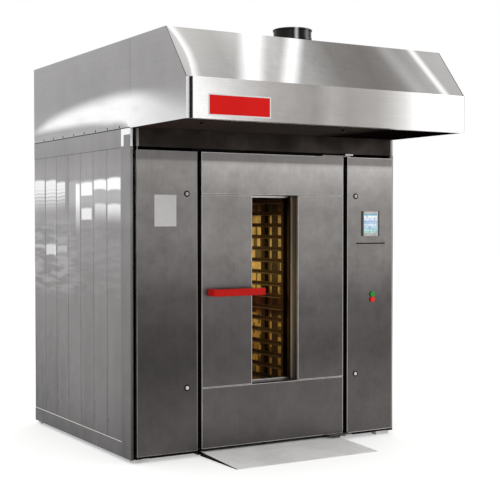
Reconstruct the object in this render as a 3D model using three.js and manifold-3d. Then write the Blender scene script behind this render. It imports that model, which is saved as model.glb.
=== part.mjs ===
// Rotating rack oven: a single-rack roll-in oven with a canopy hood, a windowed main door,
// a service door on the left, a control door on the right and a low loading ramp.
// Millimetres, +Z up. While the pieces are modelled, x = 0 is the middle of the width,
// y = 0 the front edge of the side panels (the front looks towards -y) and z = 0 the floor.
// The finished group is moved so that its origin is the bottom centre of its bounding box.
import * as THREE from 'three';
import { mergeVertices } from 'three/addons/utils/BufferGeometryUtils.js';
import Module from 'manifold-3d';

const wasm = await Module();
wasm.setup();

// ---- Driving dimensions ----------------------------------------------------

// Fits
const clear = 0.3; // gap between pieces that seat on each other
const slack = 0.5; // radial gap round a pin or a button stem
const seam = 4; // gap between neighbouring door pans
const sheet = 2; // folded pans
const casingSheet = 3; // side panels and hood cheeks
const plate = 3; // inner lining and frame plate

// Body
const bodyWidth = 2100;
const bodyDepth = 1754;
const bodyHeight = 2122; // underside of the side panels to the underside of the hood
const footHeight = 25;
const footWidth = 113;
const footMargin = 2; // from the rail's edges to the foot's
const footInset = 24;
const frontFlange = 20; // light strip along the front edge of each side panel
const railWidth = 60;
const railHeight = 35;
const railSetback = 12;
const floorThickness = 22;
const floorRise = 5; // top of the chamber floor above the foot height
const plankPitch = 230.4;
const postWidth = 141; // plain strip in front of the first plank
const skirtHeight = 95;
const grooveWidth = 4;
const rivetBandHeight = 30; // set-back band along the lower edge of the hood cheeks
const grooveDepth = 1;
const plankRecess = 1.4; // planks behind the skirt, the post and the top band
const deckThickness = 47;
const gateInset = 40; // ends of the front rail inside the door frame's outer edges
const rampLength = 490;
const rampToe = 3; // height of the ramp's front edge
const rampLap = 60; // solid strip behind that edge
const rampInsetLeft = 20;
const rampInsetRight = 42;
const ventSide = 160;
const ventSetback = 250; // middle of the steam vent behind the front

// Front pans
const panInset = 30;
const panProud = 30;
const gapAtLatch = 31; // dark gap between the service door and the main door
const gapAtHinge = 36; // dark gap between the main door and the control door
const topGap = 21;
const serviceDoorWidth = 437;
const controlDoorWidth = 400;
const serviceDoorLift = 22; // bottom edge above the foot height
const mainDoorLift = 28;
const lintelHeight = 116.7;
const topPanHeight = 276;
const bottomPanHeight = 402;
const windowWidth = 370;
const windowFromLatchEdge = 385;

// Door leaf and chamber mouth
const mouthMargin = 12; // how far the main door's pans overlap the mouth on each side
const coreMargin = 28; // how far the plug is inside the edge of the pans
const coreDepth = 88;
const frameSetback = 10;
const frameDepth = 80;
const frameFace = 60;
const glassRecess = 95; // glass behind the pan faces
const glassThickness = 8;
const windowFrameWidth = 14;
const gasketWidth = 15.5;
const wiperLift = 2; // door's bottom wiper above the chamber floor
const wiperInset = 14; // ends of the wiper inside the door's edges

// Chamber
const chamberDepth = 1200;
const ductDepth = 40;
const ductSlots = 2;
const ductSlotWidth = 30;
const ductSlotHeight = 1500;
const ductSlotPitch = 640;
const lampReach = 35;
const lampSetback = 30;
const lampWidth = 80;
const lampHeight = 900;

// Hood
const hoodHeight = 568;
const hoodReach = 769; // front edge of the cheeks ahead of the side panels
const hoodTopReach = 507; // front edge of the flat top
const fasciaHeight = 241;
const fasciaProud = 28;
const hoodLip = 30;
const intakeSlot = 50;
const baffleThickness = 15;
const flueRadius = 125;
const flueWall = 2;
const flueRise = 100;
const flueTail = 25; // length of the pipe below the hood top
const flueReach = 270; // flue axis ahead of the side panels
const collarWidth = 22;
const namePlateInset = 100; // from the fascia's left end
const namePlateWidth = 427;
const namePlateLift = 20;
const namePlateHeight = 128;
const namePlateThickness = 2.7;

// Hinges, handle, locks and controls
const hingeAhead = 50; // main hinge axis ahead of the side panels
const hingePin = 7;
const strapThickness = 6;
const strapReach = 20; // ahead of the hinge axis
const strapSetback = 8;
const topStrapLength = 203;
const bottomStrapLength = 140;
const bracketThickness = 10;
const bracketLeft = 27; // from the hinge axis to the bracket's sides
const bracketRight = 38;
const hingeFloat = 2; // between strap and bracket
const pivotPin = 4;
const pivotRise = 6; // how far an upper pivot reaches into the lintel
const earHalf = 18;
const earThickness = 6;
const earLift = 8;
const pivotInset = 12; // service door pivots from the doors' outer edges
const pivotSetback = 16;
const handleHeight = 1085; // handle axis above the floor
const handleFromLatchEdge = 74; // handle spindle from the door's free edge
const handleLength = 389;
const handleBar = 48;
const handleThickness = 24;
const handleDepth = 90; // bar's front face ahead of the pans
const spindleRadius = 6;
const boltHeight = 30;
const boltDepth = 24;
const boltLength = 82;
const boltSetback = 30;
const lockRadius = 12;
const lockHead = 4;
const lockDriver = 3; // width and height of the triangle key's bar
const lockSpindle = 8;
const serviceLockInset = 77;
const controlLockInset = 72;
const lockFromTop = 276;
const lockFromBottom = 420;
const camLength = 75;
const camWidth = 16;
const camThickness = 4;
const screenWidth = 160;
const screenHeight = 179;
const screenCentreHeight = 1538;
const screenBezel = 10;
const screenProud = 5;
const screenBody = 36;
const screenFromHingeGap = 203; // screen centre from the control door's free edge
const slitWidth = 256;
const slitHeight = 8;
const slitCentreHeight = 1397;
const slitFromHingeGap = 206;
const buttonRadius = 19;
const buttonStem = 10;
const buttonHead = 7;
const buttonTail = 20; // stem behind the pan's face
const buttonTravel = 4;
const buttonFromHingeGap = 219;
const greenHeight = 1033;
const buttonPitch = 39; // from the green button down to the red one
const redHeight = greenHeight - buttonPitch;

// Rack and its drive
const rackWidth = 600;
const rackDepth = 800;
const rackTube = 30;
const rackPosts = 4; // in each side ladder
const tiers = 18;
const ledgeReach = 35;
const ledgeThickness = 4;
const ledgeLip = 28;
const ledgeInset = 2; // ends of a ledge inside the ladder
const firstLedge = 65; // lowest ledge above the rack's base frame
const overLastLedge = 116.5;
const castorRadius = 40;
const castorWidth = 30;
const castorLift = 12; // the rack hangs with its castors this far above the floor
const castorDrop = 93; // from the underside of the wheel to the underside of the base
const castorInsetX = 50;
const castorInsetY = 60;
const castorChamfer = 4;
const axleRadius = 6;
const forkPlate = 4;
const forkWidth = 30;
const forkBelow = 12; // fork below the axle
const castorPlate = 60;
const shaftRadius = 25;
const shaftHeight = 180; // end of the shaft above the underside of the hood
const carrierRise = 150; // carrier beam above the rack's top frame
const carrierGap = 89.1; // between the carrier beam and the roof deck
const carrierTube = 30;
const carrierPlate = 12;
const carrierLength = 180;
const carrierLip = 25; // overlap of the lip under the rack's top frame
const bearingHeight = 40;
const bearingRadius = 48;
const bearingFlange = 70;
const flangeThickness = 14;
const thrustRadius = 60;
const thrustThickness = 16;
const gearboxSide = 160;
const gearboxHeight = 120;
const gearboxDrop = 70; // gearbox underside below the end of the shaft
const driveMotorRadius = 65;
const driveMotorReach = 330;
const standPlate = 6;
const standDepth = 140;
const standFoot = 52;

// Fan, heater and switchgear in the side compartments
const fanRadius = 205;
const fanEye = 140;
const fanHeight = 110;
const fanPlate = 4;
const fanBlades = 12;
const fanBladeChord = 62;
const fanBladeThickness = 3;
const fanBladeAngle = -0.6; // radians
const fanHub = 32;
const fanShaft = 14;
const fanShaftRise = 60;
const fanHoleRadius = 30;
const fanBelowDeck = 70;
const fanMotorRadius = 95;
const fanMotorHeight = 260;
const fanMotorFlange = 130;
const fanMotorPlate = 10;
const heaterTubes = 5;
const heaterTube = 8;
const heaterDepth = 240;
const heaterSideGap = 8;
const heaterLeg = 25;
const heaterHeader = 30;
const heaterHeaderLift = 500;
const heaterBraceLift = 240;
const heaterBelowFan = 300;
const heaterTubeInset = 60;
const gearSetback = 330;
const gearLift = 900;
const gearPlateHeight = 900;
const gearRows = 3;
const gearRowPitch = 260;
const gearFirstRow = 150;
const gearUnits = 4;
const gearUnitPitch = 80;
const gearUnitWidth = 56;
const gearUnitHeight = 100;
const gearUnitDepth = 68;
const gearRail = 36;
const gearRailDepth = 12;
const gearMargin = 50;

// ---- Planes worked out from the driving dimensions -------------------------

const sideX = bodyWidth / 2;
const footDepth = railWidth - 2 * footMargin;
const innerX = sideX - casingSheet - clear;
const panX = sideX - panInset;
const hoodZ = footHeight + bodyHeight;
const hoodTopZ = hoodZ + hoodHeight;
const floorZ = footHeight + floorRise;
const railTopZ = footHeight + railHeight;
const rearY = bodyDepth - sheet - clear;
const panBackY = -sheet; // rear edge of every pan's returns
const lintelZ = hoodZ - clear - lintelHeight;
const pansTopZ = lintelZ - topGap;
const serviceBottomZ = footHeight + serviceDoorLift;
const doorBottomZ = footHeight + mainDoorLift;

const serviceRight = -panX + serviceDoorWidth;
const controlLeft = panX - controlDoorWidth;
const doorLeft = serviceRight + gapAtLatch;
const doorRight = controlLeft - gapAtHinge;
const windowLeft = doorLeft + windowFromLatchEdge;
const windowRight = windowLeft + windowWidth;
const windowBottomZ = doorBottomZ + bottomPanHeight + seam / 2;
const windowTopZ = pansTopZ - topPanHeight - seam / 2;

const mouthLeft = doorLeft + mouthMargin;
const mouthRight = doorRight - mouthMargin;
const mouthTopZ = pansTopZ - mouthMargin;
const coreLeft = doorLeft + coreMargin;
const coreRight = doorRight - coreMargin;
const coreTopZ = pansTopZ - coreMargin + clear;
const coreBottomZ = doorBottomZ + 7;
const coreFrontY = panBackY + clear;
const frameLeft = mouthLeft - frameFace;
const frameRight = mouthRight + frameFace;
const frameBackY = frameSetback + frameDepth;
const gateLeft = frameLeft + gateInset;
const gateRight = frameRight - gateInset;
const middlePanBottom = windowBottomZ + seam / 2;
const middlePanTop = windowTopZ - seam / 2;
const glassY = glassRecess - panProud;

const chamberX = (mouthLeft + mouthRight) / 2;
const chamberFrontY = frameBackY + clear;
const chamberRearY = chamberFrontY + chamberDepth;
const chamberY = (chamberFrontY + chamberRearY) / 2;
const deckZ = hoodZ - clear - deckThickness;
const ductLeft = mouthLeft - ductDepth;
const ductRight = mouthRight + ductDepth;
const ductTopZ = deckZ - clear;

const hingeX = doorRight + gapAtHinge / 2;
const servicePivotX = -panX + pivotInset;
const controlPivotX = panX - pivotInset;
const screenX = controlLeft + screenFromHingeGap;
const buttonX = controlLeft + buttonFromHingeGap;
const handleX = doorLeft + handleFromLatchEdge;
const strapFrontY = -hingeAhead - strapReach;
const lockHeights = [pansTopZ - lockFromTop, serviceBottomZ + lockFromBottom];
const serviceLockX = serviceRight - serviceLockInset;
const controlLockX = controlLeft + controlLockInset;

const slopeZ = hoodZ + fasciaHeight;
const flueTopZ = hoodTopZ + flueRise;
const fasciaFrontY = -hoodReach - fasciaProud;
const hoodSheetY = -hoodReach + sheet + clear;
const baffleFrontY = hoodSheetY + hoodLip + intakeSlot;
const baffleRearY = -panProud + frameSetback;
const baffleZ = hoodZ + clear;

const castorZ = floorZ + castorLift + castorRadius;
const rackBaseZ = floorZ + castorLift + castorDrop;
const ladderZ = rackBaseZ + rackTube + clear;
const carrierZ = deckZ - carrierGap - carrierTube;
const rackTopZ = carrierZ - carrierRise - rackTube;
const ladderTopZ = rackTopZ - clear;
const ledgeSpan = ladderTopZ - overLastLedge - ladderZ - firstLedge;
const tierPitch = ledgeSpan / (tiers - 1);
const bearingZ = deckZ + plate + clear;
const collarZ = bearingZ + bearingHeight + clear;
const shaftTopZ = hoodZ + shaftHeight;
const castorX = rackWidth / 2 - castorInsetX;
const castorY = rackDepth / 2 - castorInsetY;

const compartmentX = (-innerX + ductLeft) / 2;
const fanTopZ = deckZ - fanBelowDeck;

// ---- Materials --------------------------------------------------------------

const paint = (color, roughness, metalness) =>
  new THREE.MeshStandardMaterial({ color, roughness, metalness });
const casingSteel = paint(0xb9bab8, 0.32, 1);
const brushedSteel = paint(0x8b8783, 0.38, 1);
const hoodSteel = paint(0xd5d7d8, 0.28, 1);
const darkSteel = paint(0x35322f, 0.5, 1);
const chamberSteel = paint(0xb98f4d, 0.3, 1);
const rackSteel = paint(0xa9a49a, 0.35, 1);
const blackPipe = paint(0x2a2a2c, 0.55, 0.6);
const redPaint = paint(0xc01414, 0.35, 0);
const greenPlastic = paint(0x2c8a3c, 0.4, 0);
const redPlastic = paint(0xb5221e, 0.4, 0);
const rubber = paint(0x1b1b1b, 0.8, 0);
const glass = paint(0x8a7a60, 0.05, 0);
const screenPlastic = paint(0x3aa7bd, 0.3, 0);
const greyPaint = paint(0x5a6066, 0.5, 0.2);

// ---- Solids -----------------------------------------------------------------

// A closed three.js geometry as a manifold solid.
function toSolid(geometry) {
  const bare = geometry.clone();
  bare.deleteAttribute('normal');
  bare.deleteAttribute('uv');
  const merged = mergeVertices(bare, 1e-4);
  const vertProperties = new Float32Array(merged.attributes.position.array);
  const triVerts = new Uint32Array(merged.index.array);
  return new wasm.Manifold(new wasm.Mesh({ numProp: 3, vertProperties, triVerts }));
}

function toGeometry(solid) {
  const { vertProperties, triVerts } = solid.getMesh();
  const geometry = new THREE.BufferGeometry();
  geometry.setAttribute('position', new THREE.Float32BufferAttribute(vertProperties, 3));
  geometry.setIndex(Array.from(triVerts));
  geometry.computeVertexNormals();
  return geometry;
}

const join = (...solids) => solids.reduce((whole, next) => whole.add(next));
const cut = (solid, ...tools) => tools.reduce((rest, tool) => rest.subtract(tool), solid);

function block(x0, x1, y0, y1, z0, z1) {
  const box = new THREE.BoxGeometry(x1 - x0, y1 - y0, z1 - z0);
  box.translate((x0 + x1) / 2, (y0 + y1) / 2, (z0 + z1) / 2);
  return toSolid(box);
}

// A round bar between two heights on a vertical axis.
function upright(radius, x, y, z0, z1, sides = 24) {
  const bar = new THREE.CylinderGeometry(radius, radius, z1 - z0, sides);
  bar.rotateX(Math.PI / 2);
  bar.translate(x, y, (z0 + z1) / 2);
  return toSolid(bar);
}

// A round bar from front to back.
function throughBar(radius, x, z, y0, y1, sides = 24) {
  const bar = new THREE.CylinderGeometry(radius, radius, y1 - y0, sides);
  bar.translate(x, (y0 + y1) / 2, z);
  return toSolid(bar);
}

// A round bar from left to right.
function crossBar(radius, y, z, x0, x1, sides = 24) {
  const bar = new THREE.CylinderGeometry(radius, radius, x1 - x0, sides);
  bar.rotateZ(Math.PI / 2);
  bar.translate((x0 + x1) / 2, y, z);
  return toSolid(bar);
}

// An outline of [y, z] points, extruded from x0 to x1.
function sideProfile(points, x0, x1) {
  const outline = new THREE.Shape(points.map(([y, z]) => new THREE.Vector2(y, z)));
  const body = new THREE.ExtrudeGeometry(outline, { depth: x1 - x0, bevelEnabled: false });
  // Shape x -> y, shape y -> z, extrusion -> x
  body.applyMatrix4(new THREE.Matrix4().set(0, 0, 1, x0, 1, 0, 0, 0, 0, 1, 0, 0, 0, 0, 0, 1));
  return toSolid(body);
}

// A closed band along a polyline of [y, z] points, with mitred corners and its thickness
// to the right of the direction of travel.
function foldedBand(path, thickness) {
  const normals = path.slice(1).map(([y, z], i) => {
    const run = new THREE.Vector2(y - path[i][0], z - path[i][1]).normalize();
    return new THREE.Vector2(run.y, -run.x);
  });
  const inner = path.map(([y, z], i) => {
    const before = normals[Math.max(i - 1, 0)];
    const after = normals[Math.min(i, normals.length - 1)];
    const mitre = before.clone().add(after).normalize();
    const reach = thickness / mitre.dot(after);
    return [y + mitre.x * reach, z + mitre.y * reach];
  });
  return [...path, ...inner.reverse()];
}

// A folded sheet pan with its face at y0 and its open back at y1.
function frontPan(x0, x1, y0, y1, z0, z1) {
  const body = block(x0, x1, y0, y1, z0, z1);
  const hollow = block(x0 + sheet, x1 - sheet, y0 + sheet, y1 + 1, z0 + sheet, z1 - sheet);
  return cut(body, hollow);
}

function node(name, shape, material) {
  const geometry = shape.isBufferGeometry ? shape : toGeometry(shape);
  const mesh = new THREE.Mesh(geometry, material);
  mesh.name = name;
  return mesh;
}

// ---- Base and floor ----------------------------------------------------------

// Perimeter of box section, open in front of the chamber, with an ear under each service door.
function baseFrame() {
  const whole = block(-innerX, innerX, railSetback, rearY, footHeight, railTopZ);
  const inside = block(
    -innerX + railWidth, innerX - railWidth,
    railSetback + railWidth, rearY - railWidth,
    footHeight - 1, railTopZ + 1,
  );
  const gate = block(
    gateLeft, gateRight,
    0, railSetback + railWidth + 1,
    footHeight - 1, railTopZ + 1,
  );
  const earZ = footHeight + earLift;
  const ear = (x) => cut(
    block(x - earHalf, x + earHalf, -2 * pivotSetback, railSetback + 1, earZ, earZ + earThickness),
    upright(pivotPin + slack, x, -pivotSetback, footHeight, railTopZ),
  );
  return join(cut(whole, inside, gate), ear(servicePivotX), ear(controlPivotX));
}

// Tray-shaped floor between the rails, with a tongue out through the gate.
function chamberFloor() {
  const reachX = innerX - railWidth - clear;
  const frontY = railSetback + railWidth + clear;
  const backY = rearY - railWidth - clear;
  const bottomZ = floorZ - floorThickness;
  const tray = block(-reachX, reachX, frontY, backY, bottomZ, floorZ);
  const tongue = block(
    gateLeft + clear, gateRight - clear,
    railSetback, frontY + 1,
    bottomZ, floorZ,
  );
  const underTray = block(
    -reachX + plate, reachX - plate,
    frontY + plate, backY - plate,
    bottomZ - 1, floorZ - plate,
  );
  const underTongue = block(
    gateLeft + clear + plate, gateRight - clear - plate,
    railSetback + plate, frontY + plate + 1,
    bottomZ - 1, floorZ - plate,
  );
  return cut(join(tray, tongue), underTray, underTongue);
}

function foot(side, y) {
  const inner = side * (sideX - footInset - footWidth);
  const outer = side * (sideX - footInset);
  const [x0, x1] = side < 0 ? [outer, inner] : [inner, outer];
  return block(x0, x1, y, y + footDepth, 0, footHeight - clear);
}

// Low wedge of folded plate that leads the rack's castors up to the floor.
function ramp() {
  const left = gateLeft + rampInsetLeft;
  const right = gateRight - rampInsetRight;
  const heel = railSetback - clear;
  const toe = heel - rampLength;
  const wedge = sideProfile([[toe, 0], [heel, 0], [heel, floorZ], [toe, rampToe]], left, right);
  const under = sideProfile(
    [
      [toe + rampLap, -1], [heel - plate, -1],
      [heel - plate, floorZ - plate], [toe + rampLap, rampToe],
    ],
    left + plate, right - plate,
  );
  return cut(wedge, under);
}

// ---- Casing ------------------------------------------------------------------

// Side sheet with a front flange and a field of planks, set back between a skirt, a front post
// and a top band.
function sidePanel(side) {
  const skirtZ = footHeight + skirtHeight;
  const skin = block(-sideX, -sideX + casingSheet, 0, bodyDepth, footHeight, hoodZ - clear);
  const flangeX = -sideX + frontFlange;
  const flange = block(-sideX, flangeX, 0, sheet, footHeight, hoodZ - clear);
  const field = block(-sideX - 1, -sideX + plankRecess, postWidth, bodyDepth + 1, skirtZ, lintelZ);
  const grooveX = -sideX + plankRecess + grooveDepth;
  const groove = (y0, y1, z0, z1) => block(-sideX - 1, grooveX, y0, y1, z0, z1);
  const seams = [
    groove(postWidth, bodyDepth + 1, skirtZ - grooveWidth / 2, skirtZ + grooveWidth / 2),
    groove(postWidth, bodyDepth + 1, lintelZ - grooveWidth / 2, lintelZ + grooveWidth / 2),
  ];
  for (let y = postWidth; y < bodyDepth - plankPitch / 2; y += plankPitch) {
    seams.push(groove(y - grooveWidth / 2, y + grooveWidth / 2, skirtZ, lintelZ));
  }
  const left = cut(join(skin, flange), field, ...seams);
  return side < 0 ? left : left.mirror([1, 0, 0]);
}

function rearPanel() {
  const topZ = hoodTopZ - sheet - clear;
  return block(-innerX, innerX, bodyDepth - sheet, bodyDepth, footHeight, topZ);
}

// Insulated roof of the body: an open-topped tray with holes for the rack shaft, the fan
// shaft and the steam vent.
function roofDeck() {
  const frontY = frameSetback + plate + clear;
  const topZ = hoodZ - clear;
  const tray = block(-innerX, innerX, frontY, rearY, deckZ, topZ);
  const hollow = block(
    -innerX + plate, innerX - plate,
    frontY + plate, rearY - plate,
    deckZ + plate, topZ + 1,
  );
  const shaftHole = upright(shaftRadius + plate, chamberX, chamberY, deckZ - 1, topZ);
  const fanHole = upright(fanHoleRadius, compartmentX, chamberY, deckZ - 1, topZ);
  const vent = block(
    chamberX - ventSide / 2, chamberX + ventSide / 2,
    ventSetback - ventSide / 2, ventSetback + ventSide / 2,
    deckZ - 1, topZ,
  );
  return cut(tray, hollow, shaftHole, fanHole, vent);
}

// Panel over the doors. Its lower return takes the upper pivots of both service doors.
function lintelPanel() {
  const backY = frameSetback - clear;
  const pan = frontPan(-panX, panX, -panProud, backY, lintelZ, hoodZ - clear);
  const radius = pivotPin + slack;
  const hole = (x) => upright(radius, x, -pivotSetback, lintelZ - 1, lintelZ + sheet + 1);
  return cut(pan, hole(servicePivotX), hole(controlPivotX));
}

// Portal round the chamber mouth: a front plate and a throat, with the strike slot in it.
function doorFrame() {
  const bottomZ = railTopZ + clear;
  const face = block(
    frameLeft, frameRight,
    frameSetback, frameSetback + plate,
    bottomZ, hoodZ - clear,
  );
  const throat = block(
    mouthLeft - plate, mouthRight + plate,
    frameSetback, frameBackY,
    bottomZ, mouthTopZ + plate,
  );
  const mouth = block(mouthLeft, mouthRight, 0, frameBackY + 1, footHeight, mouthTopZ);
  const ease = 4 * slack;
  const strike = block(
    mouthLeft - plate - 1, mouthLeft + 1,
    boltSetback - ease, boltSetback + boltDepth + ease,
    handleHeight - boltHeight / 2 - ease, handleHeight + boltHeight / 2 + ease,
  );
  return cut(join(face, throat), mouth, strike);
}

// ---- Chamber -----------------------------------------------------------------

// Side wall of the chamber: an air duct with tall slots, open on its outer side.
function ductWall(side) {
  const outer = side < 0 ? ductLeft : ductRight;
  const inner = side < 0 ? mouthLeft : mouthRight;
  const x0 = Math.min(outer, inner);
  const x1 = Math.max(outer, inner);
  const bottomZ = floorZ + clear;
  const tray = block(x0, x1, chamberFrontY, chamberRearY, bottomZ, ductTopZ);
  const hollow = block(
    side < 0 ? x0 - 1 : x0 + plate, side < 0 ? x1 - plate : x1 + 1,
    chamberFrontY + plate, chamberRearY - plate,
    bottomZ + plate, ductTopZ - plate,
  );
  const middleZ = (bottomZ + ductTopZ) / 2;
  const slots = [];
  for (let i = 0; i < ductSlots; i += 1) {
    const y = chamberY + (i - (ductSlots - 1) / 2) * ductSlotPitch;
    slots.push(block(
      x0 - 1, x1 + 1,
      y - ductSlotWidth / 2, y + ductSlotWidth / 2,
      middleZ - ductSlotHeight / 2, middleZ + ductSlotHeight / 2,
    ));
  }
  return cut(tray, hollow, ...slots);
}

function chamberRearWall() {
  const frontY = chamberRearY + clear;
  const tray = block(ductLeft, ductRight, frontY, frontY + ductDepth, floorZ + clear, ductTopZ);
  const hollow = block(
    ductLeft + plate, ductRight - plate,
    frontY + plate, frontY + ductDepth + 1,
    floorZ + clear + plate, ductTopZ - plate,
  );
  return cut(tray, hollow);
}

// Tall lamp housing in the front left corner of the chamber.
function chamberLamp() {
  return block(
    mouthLeft + clear, mouthLeft + lampReach,
    chamberFrontY + lampSetback, chamberFrontY + lampSetback + lampWidth,
    handleHeight - lampHeight / 2, handleHeight + lampHeight / 2,
  );
}

// ---- Hood --------------------------------------------------------------------

function hoodCheek(side) {
  const outline = [
    [-hoodReach, hoodZ],
    [bodyDepth, hoodZ],
    [bodyDepth, hoodTopZ],
    [-hoodTopReach, hoodTopZ],
    [-hoodReach, slopeZ],
  ];
  const skin = sideProfile(outline, -sideX, -sideX + casingSheet);
  const flange = block(
    -sideX, -sideX + frontFlange,
    -hoodReach, -hoodReach + sheet,
    hoodZ, slopeZ,
  );
  const joint = block(
    -sideX - 1, -sideX + grooveDepth,
    -grooveWidth, 0,
    hoodZ - 1, hoodTopZ + 1,
  );
  const rivetBand = block(
    -sideX - 1, -sideX + plankRecess,
    0, bodyDepth + 1,
    hoodZ - 1, hoodZ + rivetBandHeight,
  );
  const left = cut(join(skin, flange), joint, rivetBand);
  return side < 0 ? left : left.mirror([1, 0, 0]);
}

// One folded sheet: flat top, slope, front and bottom lip.
function hoodTopSheet() {
  const rise = (hoodTopZ - slopeZ) / (hoodReach - hoodTopReach);
  const path = [
    [hoodSheetY + hoodLip, hoodZ],
    [hoodSheetY, hoodZ],
    [hoodSheetY, slopeZ + (sheet + clear) * rise],
    [-hoodTopReach, hoodTopZ],
    [rearY + clear + sheet, hoodTopZ],
  ];
  const band = sideProfile(foldedBand(path, sheet), -innerX, innerX);
  const hole = upright(flueRadius + clear, 0, -flueReach, slopeZ, flueTopZ, 32);
  return cut(band, hole);
}

function hoodFascia() {
  return frontPan(-panX, panX, fasciaFrontY, -hoodReach + sheet, hoodZ, slopeZ);
}

// Flat tray under the hood, resting on the lintel. Steam rises through the slot in front of it.
function hoodBaffle() {
  const topZ = baffleZ + baffleThickness;
  const tray = block(-innerX, innerX, baffleFrontY, baffleRearY, baffleZ, topZ);
  const hollow = block(
    -innerX + sheet, innerX - sheet,
    baffleFrontY + sheet, baffleRearY - sheet,
    baffleZ + sheet, topZ + 1,
  );
  return cut(tray, hollow);
}

function namePlate() {
  const backY = fasciaFrontY - clear;
  const bottomZ = hoodZ + namePlateLift;
  return block(
    -panX + namePlateInset, -panX + namePlateInset + namePlateWidth,
    backY - namePlateThickness, backY,
    bottomZ, bottomZ + namePlateHeight,
  );
}

// Turned outline of a pipe with a collar that rests on the hood.
function fluePipe() {
  const bore = flueRadius - flueWall;
  const collar = flueRadius + collarWidth;
  const collarZ0 = hoodTopZ + clear;
  const collarZ1 = collarZ0 + plate;
  const bottomZ = hoodTopZ - flueTail;
  const outline = [
    [bore, bottomZ], [flueRadius, bottomZ], [flueRadius, collarZ0], [collar, collarZ0],
    [collar, collarZ1], [flueRadius, collarZ1], [flueRadius, flueTopZ], [bore, flueTopZ],
    [bore, bottomZ],
  ];
  const pipe = new THREE.LatheGeometry(outline.map(([r, z]) => new THREE.Vector2(r, z)), 32);
  pipe.rotateX(Math.PI / 2);
  pipe.translate(0, -flueReach, 0);
  return toSolid(pipe);
}

// ---- Main door ---------------------------------------------------------------

// Strap welded to the pan's edge, with the hole for the hinge pin.
function hingeStrap(z0, z1, fromX) {
  const strap = block(fromX, controlLeft - sheet, strapFrontY, -strapSetback, z0, z1);
  return cut(strap, upright(hingePin + clear, hingeX, -hingeAhead, z0 - 1, z1 + 1));
}

function doorTopPan() {
  const bottomZ = windowTopZ + seam / 2;
  const pan = frontPan(doorLeft, doorRight, -panProud, panBackY, bottomZ, pansTopZ);
  const strap = hingeStrap(pansTopZ - 1, pansTopZ + strapThickness, doorRight - topStrapLength);
  return join(pan, strap);
}

function doorBottomPan() {
  const topZ = windowBottomZ - seam / 2;
  const pan = frontPan(doorLeft, doorRight, -panProud, panBackY, doorBottomZ, topZ);
  const strapZ = doorBottomZ - strapThickness;
  return join(pan, hingeStrap(strapZ, doorBottomZ + 1, doorRight - bottomStrapLength));
}

function doorLeftPan() {
  const pan = frontPan(doorLeft, windowLeft, -panProud, panBackY, middlePanBottom, middlePanTop);
  return cut(pan, throughBar(spindleRadius + slack, handleX, handleHeight, -panProud - 1, 0));
}

function doorRightPan() {
  return frontPan(windowRight, doorRight, -panProud, panBackY, middlePanBottom, middlePanTop);
}

// Inner pan of the leaf: it plugs into the mouth, and the window's throat runs through it.
function doorCore() {
  const body = block(coreLeft, coreRight, coreFrontY, coreDepth, coreBottomZ, coreTopZ);
  const hollow = block(
    coreLeft + plate, coreRight - plate,
    coreFrontY - 1, coreDepth - plate,
    coreBottomZ + plate, coreTopZ - plate,
  );
  const throat = block(
    windowLeft - plate, windowRight + plate,
    coreFrontY - 2, coreDepth,
    windowBottomZ - plate, windowTopZ + plate,
  );
  const view = block(
    windowLeft, windowRight,
    coreFrontY - 2, coreDepth + 1,
    windowBottomZ, windowTopZ,
  );
  const boltHole = block(
    coreLeft - 1, coreLeft + plate + 1,
    boltSetback - slack, boltSetback + boltDepth + slack,
    handleHeight - boltHeight / 2 - slack, handleHeight + boltHeight / 2 + slack,
  );
  return cut(body, cut(hollow, throat), view, boltHole);
}

function windowFrame() {
  const frontY = glassY - clear - 2 * plate;
  const ring = block(
    windowLeft + clear, windowRight - clear,
    frontY, glassY - clear,
    windowBottomZ + clear, windowTopZ - clear,
  );
  const inside = block(
    windowLeft + windowFrameWidth, windowRight - windowFrameWidth,
    frontY - 1, glassY,
    windowBottomZ + windowFrameWidth, windowTopZ - windowFrameWidth,
  );
  return cut(ring, inside);
}

function windowGlass() {
  return block(
    windowLeft + clear, windowRight - clear,
    glassY, glassY + glassThickness,
    windowBottomZ + clear, windowTopZ - clear,
  );
}

// Flat seal behind the pans, with a wiper that hangs down to the chamber floor.
function doorGasket() {
  const y0 = panBackY + clear;
  const y1 = frameSetback - clear;
  const left = doorLeft + slack;
  const right = doorRight - slack;
  const bottom = doorBottomZ + slack;
  const top = pansTopZ - slack;
  const ring = block(left, right, y0, y1, bottom, top);
  const inside = block(
    left + gasketWidth, right - gasketWidth,
    y0 - 1, y1 + 1,
    bottom + 2 * plate, top - gasketWidth,
  );
  const wiper = block(
    left + wiperInset, right - wiperInset,
    y0, y1,
    floorZ + wiperLift, bottom + 1,
  );
  return join(cut(ring, inside), wiper);
}

// Bracket in front of the frame, with the pin that carries the door.
function hingeBracket(z0, z1, backY, pinZ0, pinZ1) {
  const arm = block(hingeX - bracketLeft, hingeX + bracketRight, strapFrontY, backY, z0, z1);
  return join(arm, upright(hingePin, hingeX, -hingeAhead, pinZ0, pinZ1));
}

function hingeBracketTop() {
  const z0 = pansTopZ + strapThickness + hingeFloat;
  return hingeBracket(z0, z0 + bracketThickness, frameSetback - clear, pansTopZ, z0 + 1);
}

function hingeBracketBottom() {
  const z1 = doorBottomZ - strapThickness - hingeFloat;
  return hingeBracket(z1 - bracketThickness, z1, railSetback - clear, z1 - 1, doorBottomZ);
}

// Lever about its spindle: a boss, the flat bar with a rounded left end, and the spindle.
function doorHandle() {
  const radius = handleBar / 2;
  const frontY = -panProud - handleDepth;
  const backY = frontY + handleThickness;
  const boss = throughBar(radius, 0, 0, frontY, -panProud - clear, 28);
  const bar = block(0, handleLength - radius, frontY, backY, -radius, radius);
  const spindle = throughBar(spindleRadius, 0, 0, -panProud - 1, boltSetback - slack, 16);
  return join(boss, bar, spindle);
}

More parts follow.
